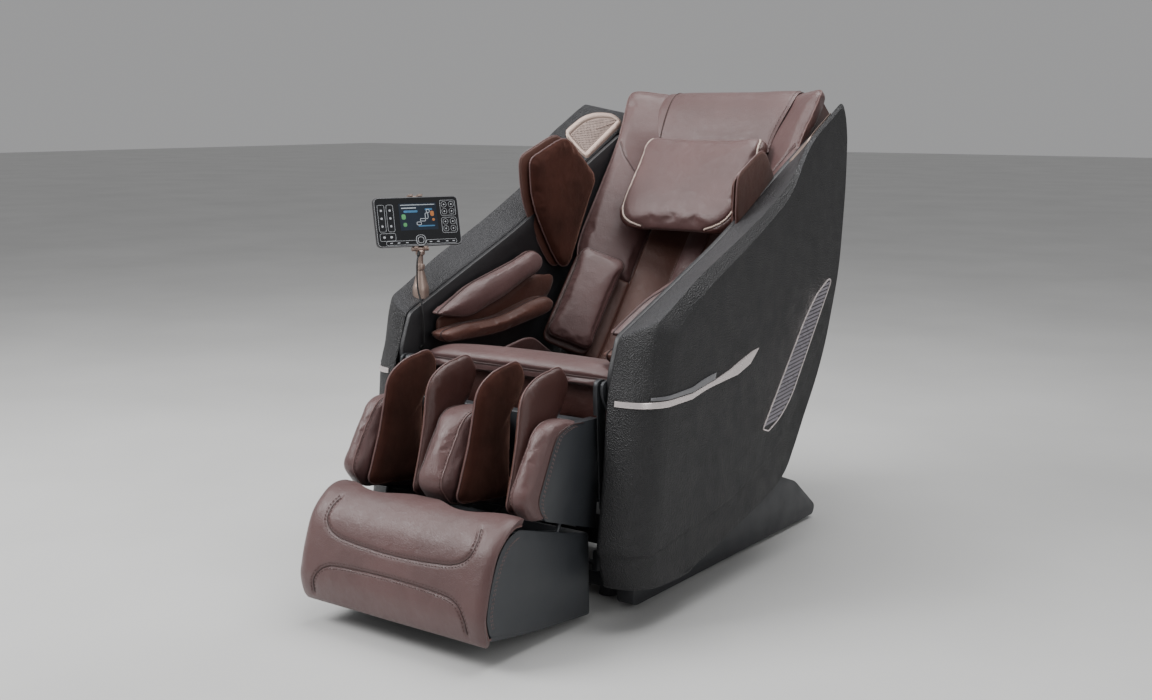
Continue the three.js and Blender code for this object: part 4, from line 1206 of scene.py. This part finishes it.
def bolster(name, middle, half, piping_at, outer_limit=None):
    """A padded front rim, seen from the side by its outline and as wide as two halves.

    outer_limit keeps its outer face flat behind the side cover.
    """
    place = lambda y, z, w: at(middle + w, y, z)
    crown = 0 if outer_limit else 2.5
    body = pad(name, bolster_loop, place, half - 3, 12, crown, LEATHER, 2.5, rings=8, count=160)
    body = puffed(body, 0.005, 0.004)
    if outer_limit:
        for vertex in body.data.vertices:
            vertex.co.x = min(vertex.co.x, outer_limit * MM)
    tree = surface_of(body)
    pipes = []
    for k, offset in enumerate(piping_at):
        ring = inset(resampled(bolster_loop, 200), 0.5)
        run = [place(y, z, offset) for y, z in ring if y < -600]
        run = snapped(run, tree, 0.0004)
        pipes.append(tube(f"{name}_piping_{k}", run, 0.0015, PIPING_LEATHER if k == 0 else PIPING_DARK, 6))
        run = snapped([place(y, z, offset - 5) for y, z in ring if y < -600], tree, 0.0004)
        pipes.append(stitches(f"{name}_stitches_{k}", run, THREAD))
    return body, pipes


centre_bolster, centre_pipes = bolster("calf_bolster_centre", 0, 43, (34, -34))
fitted(centre_bolster, "legrest", ("calf_cover",))
for pipe in centre_pipes:
    fitted(pipe, "legrest")
side_bolster, side_pipes = bolster("calf_bolster_left", 225, 27, (-13,), 249.5)
both_sides(side_bolster, "calf_bolster", "legrest",
           extras=[(pipe, pipe.name.replace("_left", "")) for pipe in side_pipes])

# Front edge of the dark side cover, which comes out of the bolster's outer face.
COVER_FRONT = spline([
    (-606, 430), (-642, 433), (-672, 429), (-694, 419), (-712, 392), (-728, 360), (-743, 330),
    (-755, 302), (-750, 278), (-738, 262),
], 8)
side_seams = []
for k, offset in enumerate((9, 14)):
    run = [at(250.3, y + offset * 0.9, z - offset * 0.44) for y, z in COVER_FRONT[8:]]
    seam = stitches(f"calf_side_left_stitches_{k}", run, THREAD_LIGHT)
    side_seams.append((seam, f"calf_side_stitches_{k}"))
cover_edge = tube("calf_side_left_edge", [at(250, y - 1, z + 0.5) for y, z in COVER_FRONT], 0.0012,
                  PIPING_DARK, 6)
both_sides(cover_edge, "calf_side_edge", "legrest", extras=side_seams)

calf_pad_loop = outline([
    (-762, 262, 16), (-784, 276, 14), (-745, 392, 40), (-724, 498, 26), (-676, 527, 24),
    (-588, 541, 22), (-563, 500, 20), (-592, 440, 10), (-610, 430, 10), (-614, 244, 14),
])


CALF_LEAN = 0.35


def calf_pad(name, middle, calf_side):
    """A calf air pad: suede towards the calf and leather on its back."""
    place = lambda y, z, w: at(middle + calf_side * (w + CALF_LEAN * (z - 380) * 0.1), y, z)
    body = pad(name, calf_pad_loop, place, 9, 9, 3.5, LEATHER_GUSSET, 2.5, rings=9, count=170)
    body = puffed(body, 0.005, 0.004)
    body.data.materials.append(SUEDE)
    for face in body.data.polygons:
        middle_here = middle + calf_side * CALF_LEAN * (face.center.z * 1000 - 380) * 0.1
        if face.center.x * calf_side > middle_here * calf_side * MM + 0.001:
            face.material_index = 1
    pipe = piping(f"{name}_piping", calf_pad_loop, place, 0, surface_of(body), 0.0019, PIPING_LEATHER,
                  0.0005, 200)
    return body, pipe


for where, middle, calf_side in (("outer", 183, -1), ("inner", 62, 1)):
    body, pipe = calf_pad(f"calf_pad_{where}_left_leaf", middle, calf_side)
    both_sides(body, f"calf_{where}", "legrest", f"calf_pad_{where}",
               extras=[(pipe, f"calf_{where}_piping")])

# ---- Foot cover ----

FOOT_FRONT = spline([
    (-800, 262), (-822, 262), (-846, 250), (-876, 220), (-896, 172), (-908, 130), (-913, 100),
    (-905, 66), (-897, 62),
], 10)


def foot_cover():
    count = 70
    line = resampled(FOOT_FRONT, count, False)
    shares = np.linspace(0, 1, count)
    rows = []
    for x in np.linspace(-238, 238, 121):
        well = max(0.0, 1 - ((abs(x) - 116) / 84) ** 2)  # the top edge dips in front of each foot well
        start = 0.085 * well
        row = []
        for t in np.linspace(start, 1, count):
            y = np.interp(t, shares, line[:, 0])
            z = np.interp(t, shares, line[:, 1])
            edge = max(0.0, (abs(x) - 226) / 12)
            row.append(at(x, y + 5 * edge**2, z - 3 * edge**2))
        rows.append(row)
    skin = grid_object("foot_cover_skin", rows, LEATHER)
    if skin.data.polygons[len(skin.data.polygons) // 2].normal.y > 0:
        skin.data.flip_normals()
    return softened(thickened(skin, 0.017), 0.003, 3)


foot_skin = foot_cover()
foot_tree = surface_of(foot_skin)
UPPER_SEAM = [
    (-188, 262), (-196, 240), (-190, 212), (-160, 192), (-100, 184), (0, 180), (100, 184),
    (160, 192), (190, 212), (196, 240), (188, 262),
]
LOWER_SEAM = [
    (-206, 64), (-200, 96), (-176, 122), (-130, 132), (0, 136), (130, 132), (176, 122), (200, 96),
    (206, 64),
]


def on_foot(run, lift):
    return shot([at(x, -860, z) for x, z in run], foot_tree, (0, 1, -0.12), lift)


foot_runs = []
for name, run in (("upper", UPPER_SEAM), ("lower", LOWER_SEAM)):
    line = spline(run, 16)
    foot_runs.append(on_foot(line, 0))
    around = np.array(line)
    for k, offset in enumerate((5.5, -5.5)):
        tangent = np.gradient(around, axis=0)
        tangent /= np.linalg.norm(tangent, axis=1)[:, None]
        beside = around + np.stack([-tangent[:, 1], tangent[:, 0]], axis=1) * offset
        fitted(stitches(f"foot_cover_stitches_{name}_{k}", on_foot(beside, 0.0004), THREAD), "foot")
pressed(foot_skin, [dense(r) for r in foot_runs], 0.005, 0.0028)
foot_tree = surface_of(foot_skin)
for name, run in zip(("upper", "lower"), foot_runs):
    run = snapped(dense(run, 0.003), foot_tree, 0.0001)
    fitted(tube(f"foot_cover_seam_{name}", run, 0.0011, PIPING_DARK, 6), "foot")
fitted(foot_skin, "foot", ("foot_cover",))
foot_edge = resampled(FOOT_FRONT, 120, False)
for side, sign in SIDES:
    run = [at(sign * 239.0, y + 2, z - 1) for y, z in foot_edge]
    fitted(tube(f"foot_cover_edge_{side}", run, 0.0024, PIPING_LEATHER, 8), "foot")
    run = snapped([at(sign * 229.0, y, z) for y, z in foot_edge], foot_tree, 0.0005)
    fitted(stitches(f"foot_cover_edge_stitches_{side}", run, THREAD), "foot")

foot_side_loop = outline([
    (-806, 255, 8), (-840, 247, 16), (-869, 219, 26), (-890, 172, 26), (-903, 128, 20),
    (-907, 100, 10), (-899, 67, 8), (-760, 37, 40), (-575, 17, 8), (-579, 189, 8),
])
FOOT_SIDE_SEAM = [
    (-812, 240), (-838, 230), (-860, 206), (-881, 166), (-893, 126), (-896, 100), (-890, 74),
]
foot_side = pad("foot_side_left", foot_side_loop, lambda y, z, w: at(239.2 + w, y, z), 1.8, 1.6, 0,
                HOUSING, rings=3, count=220)
foot_seams = []
for k, offset in enumerate((0, 5)):
    run = [at(241.1, y + offset, z) for y, z in spline(FOOT_SIDE_SEAM, 8)]
    seam = stitches(f"foot_side_left_stitches_{k}", run, THREAD_LIGHT)
    foot_seams.append((seam, f"foot_side_stitches_{k}"))
both_sides(foot_side, "foot_side", "foot", extras=foot_seams)

# ---- Tablet ----

HOLDER = (-307, -470)
TABLET_FOOT = 744
TABLET_WIDTH, TABLET_HEIGHT = 206, 114
TABLET_TURN = (Matrix.Rotation(math.radians(64), 4, "Z")
               @ Matrix.Rotation(math.radians(-14), 4, "X"))


def on_tablet(u, v, w):
    """u to the screen's right, v up from its lower edge, w out of the screen."""
    local = TABLET_TURN @ Vector((u, -w, v - 1))
    return at(HOLDER[0] + local.x, HOLDER[1] + local.y, TABLET_FOOT + local.z)


def rounded(width, height, centre, radius):
    u, v = centre
    a, b = width / 2, height / 2
    corners = ((-1, -1), (1, -1), (1, 1), (-1, 1))
    return outline([(u + i * a, v + j * b, radius) for i, j in corners])


def tablet_plate(name, loop, low, high, finish, bevel=0.0):
    bm = bmesh.new()
    add_plate(bm, loop, low, high, on_tablet)
    plate = from_bmesh(name, bm, finish, 30)
    if bevel:
        softened(plate, bevel, 3)
    return fitted(plate, "tablet")


MIDDLE = (0, TABLET_HEIGHT / 2)
case = tablet_plate("tablet_case", rounded(TABLET_WIDTH, TABLET_HEIGHT, MIDDLE, 12), -6, 4.4, PLASTIC, 0.0022)
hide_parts("tablet")
rim_outer, rim_inner = (
    resampled(rounded(TABLET_WIDTH - d, TABLET_HEIGHT - d, MIDDLE, 12 - d / 2), 100) for d in (2.0, 4.4)
)
rim_rows = [[on_tablet(*a, 4.2), on_tablet(*a, 5.4), on_tablet(*b, 5.4), on_tablet(*b, 4.2)]
            for a, b in zip(rim_outer, rim_inner)]
fitted(grid_object("tablet_rim", rim_rows, CHROME, 40, wrap_rows=True, wrap_columns=True), "tablet")
tablet_plate("tablet_glass", rounded(TABLET_WIDTH - 5, TABLET_HEIGHT - 5, MIDDLE, 9.5), 4.3, 5.2, GLASS)
tablet_plate("tablet_screen", rounded(92, 62, (2, 68), 1.5), 5.1, 5.35, SCREEN)


def marks(name, loops, finish, line, low=5.15, high=5.45):
    """Thin outlines printed on the glass."""
    bm = bmesh.new()
    for loop in loops:
        outer = resampled(loop, 40)
        inner = inset(outer, line)
        rows = [[on_tablet(*a, low), on_tablet(*a, high), on_tablet(*b, high), on_tablet(*b, low)]
                for a, b in zip(outer, inner)]
        add_grid(bm, rows, wrap_rows=True, wrap_columns=True)
    return fitted(from_bmesh(name, bm, finish, 40), "tablet")


def dots(name, spots, finish, low=5.15, high=5.5):
    """Small filled round or square marks: (u, v, width, height)."""
    bm = bmesh.new()
    for u, v, width, height in spots:
        add_plate(bm, rounded(width, height, (u, v), min(width, height) * 0.45), low, high, on_tablet)
    return fitted(from_bmesh(name, bm, finish, 40), "tablet")


key_boxes = [rounded(17, 62, (-87, 66), 4), rounded(17, 62, (-66, 66), 4), rounded(38, 18, (-76.5, 23), 4)]
key_boxes += [rounded(38, 36, (76, 86), 5), rounded(38, 36, (76, 46), 5)]
key_boxes += [rounded(76, 10, (-44, 9), 3), rounded(76, 10, (52, 9), 3)]
marks("tablet_key_groups", key_boxes, KEY_LINE, 0.7)
KEY_PLACES = [(u, v) for u in (67, 85) for v in (94, 78, 54, 38)]
key_rings = [rounded(13, 13, place, 6.4) for place in KEY_PLACES]
marks("tablet_key_rings", key_rings, KEY_LINE, 0.6)
key_dots = [(u, v, 5, 5) for u in (-87, -66) for v in (84, 66, 48)] + [(-85, 23, 6, 5), (-68, 23, 6, 5)]
key_dots += [(u, v, 3.5, 3.5) for u, v in KEY_PLACES]
key_dots += [(u, 9, 6, 2.2) for u in (-70, -52, -32, 26, 44, 66, 82)]
dots("tablet_key_symbols", key_dots, KEY_LINE)
knob_rings = [rounded(24, 24, (2, 14), 11.8), rounded(15, 15, (2, 14), 7.4)]
marks("tablet_knob_ring", knob_rings, KEY_LINE, 1.0, 5.15, 6.4)
SCREEN_MARKS = (
    ("header", SCREEN_PALE, [(2, 95, 84, 1.6), (-20, 88, 36, 2.2)]),
    ("blue", SCREEN_BLUE, [(-16, 80, 34, 5), (20, 46, 40, 3), (28, 84, 18, 4)]),
    ("green", SCREEN_GREEN, [(-34, 68, 10, 12), (-32, 50, 9, 9)]),
    ("orange", SCREEN_ORANGE, [(36, 74, 9, 12), (38, 60, 6, 6)]),
)
for name, finish, spots in SCREEN_MARKS:
    dots(f"tablet_screen_{name}", spots, finish, 5.3, 5.5)
figure = [(2, 52, 12, 8), (12, 60, 14, 7), (22, 69, 8, 14), (26, 80, 9, 8)]
figure_loops = [rounded(width, height, (u, v), min(width, height) * 0.45) for u, v, width, height in figure]
marks("tablet_screen_figure", figure_loops, SCREEN_PALE, 1.3, 5.3, 5.55)

clamp = tablet_plate("tablet_clamp_back", rounded(32, TABLET_HEIGHT + 7, MIDDLE, 3), -9.6, -6.4,
                     CHAMPAGNE, 0.001)
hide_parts("tablet_clamp")
for name, low_v, high_v in (("lower", -5.2, -0.8), ("upper", TABLET_HEIGHT + 0.4, TABLET_HEIGHT + 5)):
    for k, u in enumerate((-11.5, 11.5)):
        bm = bmesh.new()
        add_plate(bm, rounded(10, 18, (u, -0.5), 2.5), low_v, high_v,
                  lambda across, out, up: on_tablet(across, up, out))
        jaw = from_bmesh(f"tablet_clamp_{name}_{k}", bm, CHAMPAGNE, 30)
        fitted(jaw, "tablet")

CONE_PROFILE = [(18.5, 604), (19, 640), (18.8, 650), (17, 654), (9.2, 684), (8.6, 688), (7, 689.5)]
STEM_PROFILE = [
    (9.8, 690.6), (10.2, 693), (10.2, 700), (9.2, 702), (7.2, 703), (6.4, 704), (6.4, 722), (8.5, 723),
    (10.6, 725), (10.8, 732), (8.6, 735), (5, 735.6),
]
foot = at(*HOLDER, 0)
cone = lathe("holder_cone", CONE_PROFILE, foot, CHAMPAGNE, 48)
fitted(cone, "upper", ("holder_base",))
stem = lathe("holder_tube", STEM_PROFILE, foot, CHAMPAGNE, 40)
fitted(stem, "holder", ("holder_stem",))
knuckle_line = [at(-316, -488, 737), at(*HOLDER, 737), at(-298, -452, 737)]
knuckle = tube("holder_knuckle", knuckle_line, 0.0048, CHAMPAGNE, 18)
fitted(knuckle, "holder")
gland_line = [at(-303.6, -477, 731), at(-301, -482, 726.6), at(-299.1, -485.8, 722.2)]
gland = tube("holder_cable_gland", gland_line, [0.0042, 0.0038, 0.003], RUBBER, 14)
fitted(gland, "holder")

# ---- Carried-over CAD nodes ----


def refine(node, finish, bevel):
    """A CAD node kept as it is, with softened edges and its own finish."""
    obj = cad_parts[node]
    obj.data.materials.clear()
    obj.data.materials.append(finish)
    weld = obj.modifiers.new("weld", "WELD")
    weld.merge_threshold = 0.00005
    if bevel:
        edge = obj.modifiers.new("edge", "BEVEL")
        edge.width = bevel
        edge.segments = 2
        edge.limit_method = "ANGLE"
        edge.angle_limit = math.radians(32)
        edge.harden_normals = True
    shaded_smooth(obj)


KEPT = {
    STEEL: ["base_frame", "seat_frame", "back_frame", "legrest_frame", "massage_carriage",
            "cradle_roller_front", "cradle_roller_rear"],
    PLASTIC: ["power_panel", "power_switch", "air_pump", "control_box", "tilt_gear_motor", "legrest_motor",
              "massage_head_left", "massage_head_right", "foot_roller_left", "foot_roller_right"],
    CHROME: ["legrest_rod"],
    RUBBER: ["transport_wheel_left", "transport_wheel_right"],
    SHELL: ["back_cover"],
    BASE_SHELL: ["base_cover_left", "base_cover_right", "base_rear_cover"],
    HOUSING: ["calf_housing", "foot_box"],
}
THIN_EDGE = 0.0008
EDGES = {"calf_housing": 0.004, "foot_box": 0.004, "base_cover_left": 0.007, "base_cover_right": 0.007,
         "back_cover": 0.004}
for finish, names in KEPT.items():
    for name in names:
        refine(name, finish, EDGES.get(name, THIN_EDGE))

# ---- Floor and light ----

floor_material = material("floor", (0.6, 0.6, 0.592), 0.7, mottle=(1.2, 0.05), rough_range=0.05)
FLOOR_REACH = 30
corners = [[Vector((x, y, 0)) for x in (-FLOOR_REACH, FLOOR_REACH)] for y in (-FLOOR_REACH, FLOOR_REACH)]
floor = grid_object("floor", corners, floor_material)

world = bpy.data.worlds.new("studio")
bpy.context.scene.world = world
world.use_nodes = True
sky = world.node_tree.nodes["Background"].inputs
sky["Color"].default_value = (0.5, 0.5, 0.505, 1)
sky["Strength"].default_value = 0.72


def softbox(name, place, target, size, power):
    light = bpy.data.lights.new(name, "AREA")
    light.shape = "RECTANGLE"
    light.size, light.size_y = size
    light.energy = power
    obj = bpy.data.objects.new(name, light)
    bpy.context.scene.collection.objects.link(obj)
    obj.location = place
    obj.rotation_euler = (Vector(target) - Vector(place)).to_track_quat("-Z", "Y").to_euler()


softbox("key_light", (-2.2, -2.4, 3.2), (0, 0, 0.5), (2.4, 2.0), 170)
softbox("top_light", (0.2, 0.4, 3.6), (0, 0, 0.4), (2.6, 2.6), 110)
softbox("side_light", (3.4, -1.6, 1.8), (0.2, 0, 0.5), (1.2, 2.4), 24)
